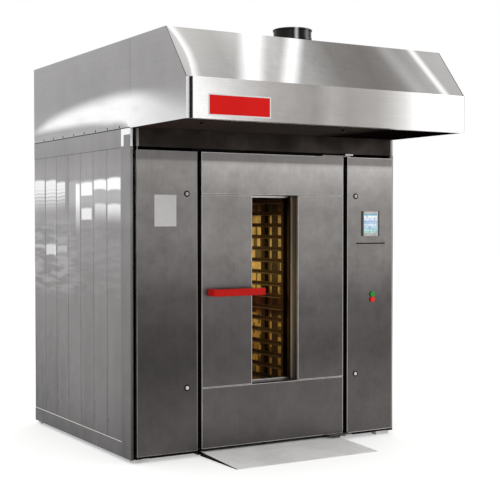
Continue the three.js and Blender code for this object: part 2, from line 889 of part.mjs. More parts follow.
function latchBolt() {
  const tip = coreLeft + 1;
  return block(
    tip, tip + boltLength,
    boltSetback, boltSetback + boltDepth,
    handleHeight - boltHeight / 2, handleHeight + boltHeight / 2,
  );
}

// ---- Service door and control door --------------------------------------------

function pivotPins(x) {
  const upper = upright(pivotPin, x, -pivotSetback, pansTopZ - 1, lintelZ + pivotRise, 16);
  const lower = upright(pivotPin, x, -pivotSetback, footHeight + earLift, serviceBottomZ + 1, 16);
  return [upper, lower];
}

// A round hole through the face of a front pan.
const faceHole = (radius, x, z) => throughBar(radius, x, z, -panProud - 1, -panProud + sheet + 1);
const lockHole = (x, z) => faceHole(lockSpindle + clear, x, z);

function leftServiceDoor() {
  const pan = frontPan(-panX, serviceRight, -panProud, panBackY, serviceBottomZ, pansTopZ);
  const holes = lockHeights.map((z) => lockHole(serviceLockX, z));
  return cut(join(pan, ...pivotPins(servicePivotX)), ...holes);
}

function controlDoor() {
  const pan = frontPan(controlLeft, panX, -panProud, panBackY, serviceBottomZ, pansTopZ);
  const y0 = -panProud - 1;
  const y1 = -panProud + sheet + 1;
  const halfW = screenWidth / 2 - screenBezel + clear;
  const halfH = screenHeight / 2 - screenBezel + clear;
  const screenHole = block(
    screenX - halfW, screenX + halfW,
    y0, y1,
    screenCentreHeight - halfH, screenCentreHeight + halfH,
  );
  const slitX = controlLeft + slitFromHingeGap;
  const slit = block(
    slitX - slitWidth / 2, slitX + slitWidth / 2,
    y0, y1,
    slitCentreHeight - slitHeight / 2, slitCentreHeight + slitHeight / 2,
  );
  const buttonHole = (z) => faceHole(buttonStem + slack, buttonX, z);
  const holes = lockHeights.map((z) => lockHole(controlLockX, z));
  const whole = join(pan, ...pivotPins(controlPivotX));
  return cut(whole, screenHole, slit, buttonHole(greenHeight), buttonHole(redHeight), ...holes);
}

// Bezel in front of the sheet, and the unit's body through the cut-out.
function touchscreen() {
  const halfW = screenWidth / 2;
  const halfH = screenHeight / 2;
  const backY = -panProud - clear;
  const bezel = block(
    screenX - halfW, screenX + halfW,
    backY - screenProud, backY,
    screenCentreHeight - halfH, screenCentreHeight + halfH,
  );
  const body = block(
    screenX - halfW + screenBezel, screenX + halfW - screenBezel,
    backY - 1, backY + screenBody,
    screenCentreHeight - halfH + screenBezel, screenCentreHeight + halfH - screenBezel,
  );
  return join(bezel, body);
}

// Quarter-turn lock about its own axis, with its cam upright and clear of the frame.
function quarterTurn() {
  const headY = -panProud - clear;
  const camY = frameSetback + plate + 1;
  const faceY = headY - lockHead;
  const backY = camY + camThickness;
  const head = throughBar(lockRadius, 0, 0, faceY, headY, 20);
  const driver = block(
    -lockSpindle, lockSpindle,
    faceY - lockDriver, faceY + 1,
    -lockDriver / 2, lockDriver / 2,
  );
  const spindle = throughBar(lockSpindle, 0, 0, headY - 1, backY, 16);
  const cam = block(-camWidth / 2, camWidth / 2, camY, backY, -camWidth / 2, camLength);
  return join(head, driver, spindle, cam);
}

function pushButton() {
  const headBackY = -panProud - buttonTravel - 1;
  const head = throughBar(buttonRadius, 0, 0, headBackY - buttonHead, headBackY, 24);
  const stem = throughBar(buttonStem, 0, 0, headBackY - 1, -panProud + buttonTail, 20);
  return join(head, stem);
}

// ---- Machinery ----------------------------------------------------------------

function shaftBearing() {
  const flange = upright(bearingFlange, 0, 0, bearingZ, bearingZ + flangeThickness);
  const housing = upright(bearingRadius, 0, 0, bearingZ, bearingZ + bearingHeight);
  const bore = upright(shaftRadius + clear, 0, 0, bearingZ - 1, collarZ);
  return cut(join(flange, housing), bore);
}

// Geared motor on a stand, with a blind bore for the top of the rack shaft.
function gearmotor() {
  const boxZ = shaftTopZ - gearboxDrop;
  const half = gearboxSide / 2;
  const halfY = standDepth / 2;
  const gearbox = block(-half, half, -half, half, boxZ, boxZ + gearboxHeight);
  const motorZ = boxZ + gearboxHeight / 2;
  const motor = crossBar(driveMotorRadius, 0, motorZ, half - 1, driveMotorReach);
  const cheek = block(half - standPlate, half, -halfY, halfY, bearingZ, boxZ + 1);
  const foot = block(half - 1, half + standFoot, -halfY, halfY, bearingZ, bearingZ + standPlate);
  const stand = join(cheek, foot);
  const bore = upright(shaftRadius + clear, 0, 0, boxZ - 1, shaftTopZ + sheet);
  return cut(join(gearbox, motor, stand, stand.mirror([1, 0, 0])), bore);
}

function fanMotor() {
  const flange = upright(fanMotorFlange, 0, 0, bearingZ, bearingZ + fanMotorPlate);
  const can = upright(fanMotorRadius, 0, 0, bearingZ + 1, bearingZ + fanMotorHeight);
  const bore = upright(fanShaft + clear, 0, 0, bearingZ - 1, bearingZ + fanShaftRise + sheet);
  return cut(join(flange, can), bore);
}

// Radial fan wheel under the deck, with its shaft up into the motor.
function fanImpeller() {
  const bottomZ = fanTopZ - fanHeight;
  const backPlate = upright(fanRadius, 0, 0, fanTopZ - fanPlate, fanTopZ, 36);
  const hub = upright(fanHub, 0, 0, fanTopZ - fanHeight / 2, fanTopZ + 2 * fanPlate, 20);
  const shaft = upright(fanShaft, 0, 0, fanTopZ, bearingZ + fanShaftRise, 16);
  const shroud = cut(
    upright(fanRadius, 0, 0, bottomZ, bottomZ + fanPlate, 36),
    upright(fanEye, 0, 0, bottomZ - 1, bottomZ + fanPlate + 1, 36),
  );
  const blades = [];
  for (let i = 0; i < fanBlades; i += 1) {
    const blade = new THREE.BoxGeometry(fanBladeChord, fanBladeThickness, fanHeight - fanPlate);
    blade.rotateZ(fanBladeAngle);
    blade.translate((fanRadius + fanEye) / 2, 0, fanTopZ - fanHeight / 2);
    blade.rotateZ((i * 2 * Math.PI) / fanBlades);
    blades.push(toSolid(blade));
  }
  return join(backPlate, hub, shaft, shroud, ...blades);
}

// Sheathed heating tubes between two headers, on legs that stand on the floor.
function heaterBank() {
  const halfW = (ductLeft + innerX) / 2 - railWidth - heaterSideGap;
  const x0 = compartmentX - halfW;
  const x1 = compartmentX + halfW;
  const y0 = chamberY - heaterDepth / 2;
  const y1 = chamberY + heaterDepth / 2;
  const z0 = floorZ + clear;
  const z1 = fanTopZ - fanHeight - heaterBelowFan;
  const headerZ = z0 + heaterHeaderLift;
  const braceZ = z0 + heaterBraceLift;
  const parts = [
    block(x0, x1, y0, y1, z1 - heaterHeader, z1),
    block(x0, x1, y0, y1, headerZ, headerZ + heaterHeader),
    block(x0, x1, y0, y1, braceZ, braceZ + heaterHeader / 2),
  ];
  [x0, x1 - heaterLeg].forEach((x) => {
    [y0, y1 - heaterLeg].forEach((y) => {
      parts.push(block(x, x + heaterLeg, y, y + heaterLeg, z0, z1));
    });
  });
  const pitch = (x1 - x0 - 2 * heaterTubeInset) / (heaterTubes - 1);
  for (let i = 0; i < heaterTubes; i += 1) {
    const x = x0 + heaterTubeInset + i * pitch;
    parts.push(upright(heaterTube, x, chamberY, headerZ + 1, z1 - 1, 10));
  }
  return join(...parts);
}

// Mounting plate across the right compartment with its switchgear.
function electricalPanel() {
  const y = gearSetback;
  const topZ = gearLift + gearPlateHeight;
  const parts = [block(ductRight + clear, innerX, y, y + plate, gearLift, topZ)];
  const unitBackY = y - gearRailDepth + 1;
  for (let row = 0; row < gearRows; row += 1) {
    const z = gearLift + gearFirstRow + row * gearRowPitch;
    parts.push(block(
      ductRight + gearMargin, innerX - gearMargin,
      y - gearRailDepth, y + 1,
      z - gearRail / 2, z + gearRail / 2,
    ));
    for (let i = 0; i < gearUnits; i += 1) {
      const x = ductRight + gearMargin + (i + 0.25) * gearUnitPitch;
      parts.push(block(
        x, x + gearUnitWidth,
        unitBackY - gearUnitDepth, unitBackY,
        z - gearUnitHeight / 2, z + gearUnitHeight / 2,
      ));
    }
  }
  return join(...parts);
}

// ---- Rack, about its own axis ---------------------------------------------------

// Shaft with its thrust collar, and the carrier whose lips hold the rack's top frame.
function rackShaft() {
  const half = rackWidth / 2;
  const lipTop = rackTopZ - clear;
  const lipBottom = lipTop - carrierPlate;
  const topZ = carrierZ + carrierTube;
  const outer = half + plate + carrierPlate;
  const halfY = carrierLength / 2;
  const shaft = upright(shaftRadius, 0, 0, carrierZ, shaftTopZ);
  const collar = upright(thrustRadius, 0, 0, collarZ, collarZ + thrustThickness);
  const beam = block(-outer, outer, -carrierTube, carrierTube, carrierZ, topZ);
  const arm = block(half + plate, outer, -halfY, halfY, lipBottom, topZ);
  const lip = block(half - carrierLip, outer, -halfY, halfY, lipBottom, lipTop);
  const hook = join(arm, lip);
  return join(shaft, collar, beam, hook, hook.mirror([1, 0, 0]));
}

// Rectangle of square tube with two cross tubes.
function rackRing(z) {
  const halfX = rackWidth / 2;
  const halfY = rackDepth / 2;
  const whole = block(-halfX, halfX, -halfY, halfY, z, z + rackTube);
  const inside = block(
    -halfX + rackTube, halfX - rackTube,
    -halfY + rackTube, halfY - rackTube,
    z - 1, z + rackTube + 1,
  );
  const tubeY = (halfY - rackTube) / 3;
  const tube = (y) => block(
    -halfX + rackTube / 2, halfX - rackTube / 2,
    y - rackTube / 2, y + rackTube / 2,
    z, z + rackTube,
  );
  return join(cut(whole, inside), tube(-tubeY), tube(tubeY));
}

// Base ring with a fork and an axle for each castor wheel.
function rackBase() {
  const parts = [rackRing(rackBaseZ)];
  const inner = castorWidth / 2 + 1;
  const outer = inner + forkPlate;
  const halfFork = forkWidth / 2;
  const plateZ = rackBaseZ - 2 * plate;
  [-1, 1].forEach((sy) => {
    const y = sy * castorY;
    const rail = [y - halfFork, y + halfFork, rackBaseZ, rackBaseZ + rackTube / 2];
    parts.push(block(-castorX, castorX, ...rail));
    [-castorX, castorX].forEach((x) => {
      const halfPlate = castorPlate / 2;
      const fork = [y - halfFork, y + halfFork, castorZ - forkBelow, plateZ + 1];
      parts.push(block(x - outer, x + outer, y - halfPlate, y + halfPlate, plateZ, rackBaseZ + 1));
      parts.push(block(x - outer, x - inner, ...fork));
      parts.push(block(x + inner, x + outer, ...fork));
      parts.push(crossBar(axleRadius, y, castorZ, x - inner - 1, x + inner + 1, 12));
    });
  });
  return join(...parts);
}

// Side ladder: upright posts, and a ledge with a lip for each tier.
function rackLadder(side) {
  const half = rackWidth / 2;
  const postInner = half - rackTube;
  const halfY = rackDepth / 2;
  const at = (a, b) => (side < 0 ? [-b, -a] : [a, b]);
  const parts = [];
  for (let i = 0; i < rackPosts; i += 1) {
    const y = -halfY + (i * (rackDepth - rackTube)) / (rackPosts - 1);
    parts.push(block(...at(postInner, half), y, y + rackTube, ladderZ, ladderTopZ));
  }
  for (let i = 0; i < tiers; i += 1) {
    const z = ladderZ + firstLedge + i * tierPitch;
    const run = [-halfY + ledgeInset, halfY - ledgeInset, z];
    parts.push(block(...at(postInner - plate, postInner + 1), ...run, z + ledgeLip));
    parts.push(block(...at(postInner - ledgeReach, postInner + 1), ...run, z + ledgeThickness));
  }
  return join(...parts);
}

// Castor wheel about its own axle, which runs along x.
function castorWheel() {
  const bore = axleRadius + clear;
  const half = castorWidth / 2;
  const shoulder = castorRadius - castorChamfer;
  const edge = half - castorChamfer;
  const outline = [
    [bore, -half], [shoulder, -half], [castorRadius, -edge],
    [castorRadius, edge], [shoulder, half], [bore, half], [bore, -half],
  ];
  const wheel = new THREE.LatheGeometry(outline.map(([r, z]) => new THREE.Vector2(r, z)), 24);
  wheel.rotateZ(-Math.PI / 2);
  return toSolid(wheel);
}

// ---- Assembly -------------------------------------------------------------------

const oven = new THREE.Group();
const foremostY = fasciaFrontY - clear - namePlateThickness;
oven.position.y = -(bodyDepth + foremostY) / 2;

function placed(mesh, x, y, z) {
  mesh.position.set(x, y, z);
  return mesh;
}

function base() {
  const group = new THREE.Group();
  group.add(
    node('base_frame', baseFrame(), darkSteel),
    node('chamber_floor', chamberFloor(), chamberSteel),
    node('ramp', ramp(), casingSteel),
  );
  const footFrontY = railSetback + footMargin;
  const footRearY = rearY - footMargin - footDepth;
  [['left', -1], ['right', 1]].forEach(([sideName, side]) => {
    group.add(node(`foot_front_${sideName}`, foot(side, footFrontY), casingSteel));
    group.add(node(`foot_rear_${sideName}`, foot(side, footRearY), casingSteel));
  });
  return group;
}

function casing() {
  const group = new THREE.Group();
  group.add(
    node('left_side_panel', sidePanel(-1), casingSteel),
    node('right_side_panel', sidePanel(1), casingSteel),
    node('rear_panel', rearPanel(), casingSteel),
    node('roof_deck', roofDeck(), casingSteel),
    node('lintel_panel', lintelPanel(), darkSteel),
    node('door_frame', doorFrame(), darkSteel),
    node('hinge_bracket_top', hingeBracketTop(), casingSteel),
    node('hinge_bracket_bottom', hingeBracketBottom(), casingSteel),
  );
  return group;
}

function chamber() {
  const group = new THREE.Group();
  group.add(
    node('left_duct_wall', ductWall(-1), chamberSteel),
    node('right_duct_wall', ductWall(1), chamberSteel),
    node('chamber_rear_wall', chamberRearWall(), chamberSteel),
    node('chamber_lamp', chamberLamp(), glass),
  );
  return group;
}

function hood() {
  const group = new THREE.Group();
  group.add(
    node('hood_cheek_left', hoodCheek(-1), hoodSteel),
    node('hood_cheek_right', hoodCheek(1), hoodSteel),
    node('hood_top_sheet', hoodTopSheet(), hoodSteel),
    node('hood_fascia', hoodFascia(), hoodSteel),
    node('hood_baffle', hoodBaffle(), darkSteel),
    node('name_plate', namePlate(), redPaint),
    node('flue_pipe', fluePipe(), blackPipe),
  );
  return group;
}

function mainDoor() {
  const group = new THREE.Group();
  group.add(
    node('door_top_pan', doorTopPan(), brushedSteel),
    node('door_bottom_pan', doorBottomPan(), brushedSteel),
    node('door_left_pan', doorLeftPan(), brushedSteel),
    node('door_right_pan', doorRightPan(), brushedSteel),
    node('door_core', doorCore(), darkSteel),
    node('window_frame', windowFrame(), casingSteel),
    node('window_glass', windowGlass(), glass),
    node('door_gasket', doorGasket(), rubber),
    placed(node('door_handle', doorHandle(), redPaint), handleX, 0, handleHeight),
    node('latch_bolt', latchBolt(), casingSteel),
  );
  return group;
}

function serviceDoors() {
  const group = new THREE.Group();
  group.add(
    node('left_service_door', leftServiceDoor(), brushedSteel),
    node('control_door', controlDoor(), brushedSteel),
    node('touchscreen', touchscreen(), screenPlastic),
    placed(node('green_button', pushButton(), greenPlastic), buttonX, 0, greenHeight),
    placed(node('red_button', pushButton(), redPlastic), buttonX, 0, redHeight),
  );
  const locks = [['left', serviceLockX], ['right', controlLockX]];
  locks.forEach(([sideName, x]) => {
    ['upper', 'lower'].forEach((level, i) => {
      const name = `${sideName}_lock_${level}`;
      group.add(placed(node(name, quarterTurn(), casingSteel), x, 0, lockHeights[i]));
    });
  });
  return group;
}

function machinery() {
  const group = new THREE.Group();
  group.add(
    placed(node('shaft_bearing', shaftBearing(), greyPaint), chamberX, chamberY, 0),
    placed(node('gearmotor', gearmotor(), greyPaint), chamberX, chamberY, 0),
    placed(node('fan_motor', fanMotor(), greyPaint), compartmentX, chamberY, 0),
    placed(node('fan_impeller', fanImpeller(), casingSteel), compartmentX, chamberY, 0),
    node('heater_bank', heaterBank(), blackPipe),
    node('electrical_panel', electricalPanel(), greyPaint),
  );
  return group;
}

function carousel() {
  const group = new THREE.Group();
  group.position.set(chamberX, chamberY, 0);
  group.add(
    node('rack_shaft', rackShaft(), rackSteel),
    node('rack_top_frame', rackRing(rackTopZ), rackSteel),
    node('rack_base_frame', rackBase(), rackSteel),
    node('rack_ladder_left', rackLadder(-1), rackSteel),
    node('rack_ladder_right', rackLadder(1), rackSteel),
  );
  [['front', -1], ['rear', 1]].forEach(([end, sy]) => {
    [['left', -1], ['right', 1]].forEach(([sideName, sx]) => {
      const wheel = node(`castor_wheel_${end}_${sideName}`, castorWheel(), rubber);
      group.add(placed(wheel, sx * castorX, sy * castorY, castorZ));
    });
  });
  return group;
}

oven.add(base(), casing(), chamber(), hood(), mainDoor(), serviceDoors(), machinery(), carousel());

export default oven;
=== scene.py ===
import math

import bmesh
import bpy
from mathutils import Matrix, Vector


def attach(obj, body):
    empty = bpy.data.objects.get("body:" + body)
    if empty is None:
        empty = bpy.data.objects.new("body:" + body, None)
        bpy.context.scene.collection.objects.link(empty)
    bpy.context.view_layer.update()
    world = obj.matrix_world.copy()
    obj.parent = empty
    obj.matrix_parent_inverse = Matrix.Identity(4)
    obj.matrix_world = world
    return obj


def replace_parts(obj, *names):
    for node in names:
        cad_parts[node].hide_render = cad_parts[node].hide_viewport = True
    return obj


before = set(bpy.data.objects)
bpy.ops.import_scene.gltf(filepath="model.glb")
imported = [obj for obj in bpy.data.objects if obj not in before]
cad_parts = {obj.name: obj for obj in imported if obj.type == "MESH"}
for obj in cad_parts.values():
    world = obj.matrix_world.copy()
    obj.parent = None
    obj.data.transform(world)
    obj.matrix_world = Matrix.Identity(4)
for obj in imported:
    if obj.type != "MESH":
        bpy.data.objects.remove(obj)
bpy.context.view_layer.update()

# ---- The place it stands -----------------------------------------------------
# A pale studio floor and an even white surround, seen from the front left at eye height.
# The white is for what is seen directly, mirrored or seen through; the lamps give the light.


def linear(code):
    """An sRGB colour written as hex, as linear red, green, blue and alpha."""
    parts = [int(code[i : i + 2], 16) / 255 for i in (0, 2, 4)]
    return tuple(c / 12.92 if c <= 0.04045 else ((c + 0.055) / 1.055) ** 2.4 for c in parts) + (1.0,)


def add(tree, kind, wires=(), stops=(), **settings):
    """A node with its settings and its colour stops, each a place from 0 to 1 and a colour.

    Its inputs, in order or by name, are set to a value or wired to a socket. A node given as
    one stands for its first output."""
    node = tree.nodes.new(kind)
    for name, value in settings.items():
        setattr(node, name, value)
    for i, (spot, code) in enumerate(stops):
        colours = node.color_ramp.elements
        stop = colours[i] if i < 2 else colours.new(spot)
        stop.position = spot
        stop.color = linear(code)
    for socket, value in wires.items() if isinstance(wires, dict) else enumerate(wires):
        if isinstance(value, bpy.types.Node):
            value = value.outputs[0]
        if isinstance(value, bpy.types.NodeSocket):
            tree.links.new(value, node.inputs[socket])
        else:
            node.inputs[socket].default_value = value
    return node


def seen_white(tree):
    """1 for rays that go to the eye directly, by a mirror or through glass."""
    path = add(tree, "ShaderNodeLightPath").outputs
    direct = add(tree, "ShaderNodeMath", (path["Is Camera Ray"], path["Is Glossy Ray"]), operation="MAXIMUM")
    return add(tree, "ShaderNodeMath", (direct, path["Is Transmission Ray"]), operation="MAXIMUM")


def material(name):
    made = bpy.data.materials.new(name)
    made.use_nodes = True
    made.node_tree.nodes.clear()
    return made, made.node_tree


scene = bpy.context.scene
scene.view_settings.view_transform = "Standard"

surround = bpy.data.worlds.new("white_surround")
scene.world = surround
surround.use_nodes = True
tree = surround.node_tree
tree.nodes.clear()
soft = add(tree, "ShaderNodeBackground", {"Color": (1, 1, 1, 1), "Strength": 0.8})
white = add(tree, "ShaderNodeBackground", {"Color": (1, 1, 1, 1), "Strength": 1.0})
add(tree, "ShaderNodeOutputWorld", {0: add(tree, "ShaderNodeMixShader", (seen_white(tree), soft, white))})

# Matt paint: the floor keeps its soft shadow, and is lifted towards white where it is seen.
floor_paint, tree = material("white_floor_paint")
lift = add(tree, "ShaderNodeMath", (seen_white(tree), 0.42), operation="MULTIPLY")
paint = add(tree, "ShaderNodeBsdfPrincipled", {
    "Base Color": linear("f0f0ef"), "Roughness": 0.9, "Specular IOR Level": 0.1,
    "Emission Color": (1, 1, 1, 1), "Emission Strength": lift,
})
add(tree, "ShaderNodeOutputMaterial", {0: paint})
floor_mesh = bpy.data.meshes.new("studio_floor")
half = 30
corners = [(-half, -half, 0), (half, -half, 0), (half, half, 0), (-half, half, 0)]
floor_mesh.from_pydata(corners, [], [(0, 1, 2, 3)])
floor_mesh.materials.append(floor_paint)
studio_floor = bpy.data.objects.new("studio_floor", floor_mesh)
scene.collection.objects.link(studio_floor)

middle = Vector((0, 0, 1.2))
for name, place, size, watts in (
    ("key", (-5.5, -6.5, 6.5), 4.0, 120),
    ("fill", (6.5, -6.0, 4.5), 5.0, 40),
    ("top", (0.5, 0.5, 7.5), 5.0, 60),
):
    lamp = bpy.data.lights.new(name, "AREA")
    lamp.size = size
    lamp.energy = watts
    holder = bpy.data.objects.new(name, lamp)
    scene.collection.objects.link(holder)
    holder.location = place
    holder.rotation_euler = (middle - Vector(place)).to_track_quat("-Z", "Y").to_euler()

camera = bpy.data.objects.new("camera", bpy.data.cameras.new("camera"))
scene.collection.objects.link(camera)
camera.data.sensor_width = 36
camera.data.lens = 80.695
camera.location = (-4.035, -6.9865, 1.5451)
camera.rotation_euler = (math.radians(90 - 1.3966), 0, math.radians(-30.7339))
scene.camera = camera

# ---- Side, rear and roof casing ----------------------------------------------
# Folded trays of austenitic stainless sheet, 3 mm on the sides and 2 mm elsewhere, satin
# finished and riveted to the base frame. The thin planks pull slightly between their seams, and a
# reflection of the room is painted into them, broken up plank by plank.


def at(x, y, z):
    """A place on the oven: millimetres from the middle, the side panels' front edge and the floor.

    The middle of the overall depth, where the frame begins, lies 477 mm behind that edge."""
    return Vector((x / 1000, (y - 477.0) / 1000, z / 1000))


def dress(finish, *names):
    for name in names:
        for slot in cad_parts[name].material_slots:
            slot.material = finish


def sheet_steel(
    name, tones, along, fade=None, rough=0.3, grain=1.0, patch=1.0, pull=0.0, strip=6.0,
    metal=1.0, shine=0.5, painted_reflection=None, image="ffffff", painted_shade=(),
):
    """Satin stainless: a grain of fine lines along one axis, cloudy handling marks and a soft pull.

    With fade, an axis, tones are (metres, colour) along it. painted_reflection paints a reflection in
    the image colour. painted_shade is rows of an axis, or Y-Z for low and rearward, a start, an end
    and how dark the painted shade is at the start. Real grain lines are 0.1 mm wide; they are drawn
    `strip` mm wide, or they wouldn't show. Clouds are 400 mm wide, smears 80 mm, and the pull's waves
    230 to 670 mm."""
    made, tree = material(name)
    place = add(tree, "ShaderNodeTexCoord").outputs["Object"]
    scale = [1000 / strip] * 3
    scale["XYZ".index(along)] = 1.6
    lines = add(tree, "ShaderNodeMapping", {"Vector": place, "Scale": scale})
    hairs = add(tree, "ShaderNodeTexNoise", {
        "Vector": lines, "Scale": 1.0, "Detail": 3.0, "Roughness": 0.65,
    })
    cloud = add(tree, "ShaderNodeTexNoise", {
        "Vector": place, "Scale": 2.6, "Detail": 4.0, "Roughness": 0.55, "Distortion": 0.4,
    })
    smear = add(tree, "ShaderNodeTexNoise", {
        "Vector": place, "Scale": 13.0, "Detail": 6.0, "Roughness": 0.62,
    })
    axes = add(tree, "ShaderNodeSeparateXYZ", {0: place}).outputs
    ways = dict(zip("XYZ", axes))
    ways["Y-Z"] = add(tree, "ShaderNodeMath", (axes[1], axes[2]), operation="SUBTRACT")
    if fade:
        first, last = tones[0][0], tones[-1][0]
        run = add(tree, "ShaderNodeMapRange", (ways[fade], first, last))
        stops = [((metres - first) / (last - first), code) for metres, code in tones]
    else:
        run = add(tree, "ShaderNodeMapRange", (cloud, 0.25, 0.75))
        stops = [(i / (len(tones) - 1), code) for i, code in enumerate(tones)]
    colour = add(tree, "ShaderNodeValToRGB", {0: run}, stops)
    stirred = add(tree, "ShaderNodeMath", (cloud, smear), operation="ADD")
    worn = add(tree, "ShaderNodeMapRange", (stirred, 0.7, 1.3, 1 - 0.17 * patch, 1 + 0.17 * patch))
    lined = add(tree, "ShaderNodeMapRange", (hairs, 0.3, 0.7, 1 - 0.07 * grain, 1 + 0.07 * grain))
    bright = add(tree, "ShaderNodeMath", (worn, lined), operation="MULTIPLY")
    for axis, start, end, dark in painted_shade:
        shaded = add(tree, "ShaderNodeMapRange", (ways[axis], start, end, dark, 1.0))
        bright = add(tree, "ShaderNodeMath", (bright, shaded), operation="MULTIPLY")
    colour = add(tree, "ShaderNodeHueSaturation", {"Color": colour, "Value": bright}).outputs[0]
    if painted_reflection:
        shown = {0: painted_reflection(tree, place), 6: colour, 7: linear(image)}
        colour = add(tree, "ShaderNodeMix", shown, data_type="RGBA").outputs[2]
    normal = add(tree, "ShaderNodeBump", {"Height": hairs, "Strength": 0.1 * grain, "Distance": 0.0006})
    if pull:
        sag = add(tree, "ShaderNodeMapping", {"Vector": place, "Scale": (3.0, 4.3, 1.5)})
        waves = add(tree, "ShaderNodeTexNoise", {"Vector": sag, "Scale": 1.0, "Detail": 1.5})
        pulled = {"Height": waves, "Strength": 1.0, "Distance": pull, "Normal": normal}
        normal = add(tree, "ShaderNodeBump", pulled)
    steel = add(tree, "ShaderNodeBsdfPrincipled", {
        "Base Color": colour, "Metallic": metal, "Specular IOR Level": shine, "Anisotropic": 0.3,
        "Roughness": add(tree, "ShaderNodeMapRange", (smear, 0.3, 0.7, rough - 0.05, rough + 0.07)),
        "Normal": normal,
    })
    add(tree, "ShaderNodeOutputMaterial", {0: steel})
    return made


def gated(tree, value, *gates):
    """A value let through by soft gates, one after the other.

    A gate is a level, where it starts and ends, and the shares let through there: 0 and 1 unless
    they are given."""
    for level, start, end, *shares in gates:
        low, high = shares or (0.0, 1.0)
        step = (level, start, end, low, high)
        gate = add(tree, "ShaderNodeMapRange", step, interpolation_type="SMOOTHSTEP")
        value = add(tree, "ShaderNodeMath", (value, gate), operation="MULTIPLY")
    return value


seams = [141 + 230.4 * i for i in range(7)]


def plank_painted_reflection(tree, place):
    """A painted reflection of the room in the planks: panes of light at head height, each plank's bent a
    little apart.

    A pane is its start and end, counted in planks from the front, its lower and upper edge, how
    far it fades downwards, and its strength."""
    panes = (
        (0.02, 3.95, 1.6, 1.85, 0.12, 0.22),
        (0.02, 0.98, 1.752, 1.85, 0.02, 0.95),
        (1.02, 1.98, 1.76, 1.843, 0.02, 0.95),
        (2.06, 2.96, 1.727, 1.833, 0.014, 1.0),
        (3.03, 3.4, 1.42, 1.828, 0.34, 0.95),
        (4.22, 4.99, 1.62, 1.85, 0.17, 0.95),
        (5.02, 5.97, 1.6, 1.868, 0.18, 0.95),
        (6.03, 6.99, 1.6, 1.875, 0.2, 0.95),
        (0.02, 0.98, 1.53, 1.678, 0.12, 0.75),
        (1.05, 1.9, 1.54, 1.683, 0.12, 0.55),
        (2.1, 2.94, 1.56, 1.657, 0.014, 0.85),
        (5.04, 5.95, 1.3, 1.395, 0.014, 0.6),
        (4.08, 4.96, 1.31, 1.39, 0.04, 0.3),
        (6.05, 6.99, 1.345, 1.39, 0.02, 0.35),
        (5.11, 5.19, 1.22, 1.56, 0.15, 0.4),
        (3.9, 3.97, 1.4, 1.59, 0.12, 0.5),
        (0.02, 0.9, 1.255, 1.268, 0.006, 0.16),
        (2.02, 2.9, 1.226, 1.24, 0.006, 0.16),
        (5.02, 6.99, 1.018, 1.03, 0.006, 0.2),
    )
    _, y, z = add(tree, "ShaderNodeSeparateXYZ", {0: place}).outputs
    first, second = (at(0, seam, 0).y for seam in seams[:2])
    planks = add(tree, "ShaderNodeMapRange", (y, first, second), clamp=False)
    # Each plank bows, and its image drops by 6 mm at most; noise lets it wander by 16 mm more.
    turns = add(tree, "ShaderNodeMath", (planks, math.pi), operation="MULTIPLY")
    swing = add(tree, "ShaderNodeMath", {0: turns}, operation="SINE")
    bow = add(tree, "ShaderNodeMath", {0: swing}, operation="ABSOLUTE")
    sunk = add(tree, "ShaderNodeMath", (bow, -0.006, z), operation="MULTIPLY_ADD")
    where = add(tree, "ShaderNodeMapping", {"Vector": place, "Scale": (0.0, 6.0, 3.0)})
    wander = add(tree, "ShaderNodeTexNoise", {"Vector": where, "Scale": 1.0, "Detail": 2.0})
    strayed = add(tree, "ShaderNodeMapRange", (wander, 0.0, 1.0, -0.004, 0.012))
    height = add(tree, "ShaderNodeMath", (sunk, strayed), operation="ADD")
    shown = 0.0
    for start, end, low, high, soft, strength in panes:
        across = (planks, start, start + 0.05), (planks, end, end - 0.05)
        upright = (height, low, low + soft), (height, high, high - 0.022)
        pane = gated(tree, strength, *across, *upright)
        shown = add(tree, "ShaderNodeMath", (pane, shown), operation="ADD")
    # Blinds cut the rear planks' panes into stripes, and shelves under them show as faint bars.
    slats = add(tree, "ShaderNodeMath", (height, 240.0), operation="MULTIPLY")
    slats = add(tree, "ShaderNodeMath", {0: slats}, operation="SINE")
    blind = add(tree, "ShaderNodeMath", (height, 1.72), operation="SUBTRACT")
    blind = add(tree, "ShaderNodeMath", {0: blind}, operation="ABSOLUTE")
    cut = gated(tree, 0.5, (slats, -0.2, 0.7), (blind, 0.12, 0.0), (planks, 3.95, 4.05))
    uncut = add(tree, "ShaderNodeMath", (1.0, cut), operation="SUBTRACT")
    shown = add(tree, "ShaderNodeMath", (shown, uncut), operation="MULTIPLY")
    shelf = add(tree, "ShaderNodeCombineXYZ", (0.0, planks, height))
    shelf = add(tree, "ShaderNodeMapping", {"Vector": shelf, "Scale": (1.0, 0.8, 26.0)})
    bars = add(tree, "ShaderNodeTexNoise", {"Vector": shelf, "Scale": 1.0, "Detail": 1.0})
    zone = (height, 0.95, 1.15), (height, 1.6, 1.5), (planks, 2.6, 4.2, 0.25, 1.0)
    faint = gated(tree, 0.15, (bars, 0.4, 0.65), *zone)
    shown = add(tree, "ShaderNodeMath", (shown, faint), operation="MAXIMUM")
    shown = gated(tree, shown, (planks, 0.0, 0.02))
    # The lit gap under the canopy shows at the top of the front post, and down its rear edge.
    strip = gated(tree, 1.0, (z, 2.104, 2.11))
    edge = gated(tree, 1.0, (z, 2.032, 2.04), (planks, -0.2, -0.17))
    on_post = add(tree, "ShaderNodeMath", (strip, edge), operation="MAXIMUM")
    on_post = gated(tree, on_post, (planks, -0.01, -0.02))
    shown = add(tree, "ShaderNodeMath", (shown, on_post), operation="MAXIMUM")
    return add(tree, "ShaderNodeMath", (shown, 0.9), operation="MULTIPLY")
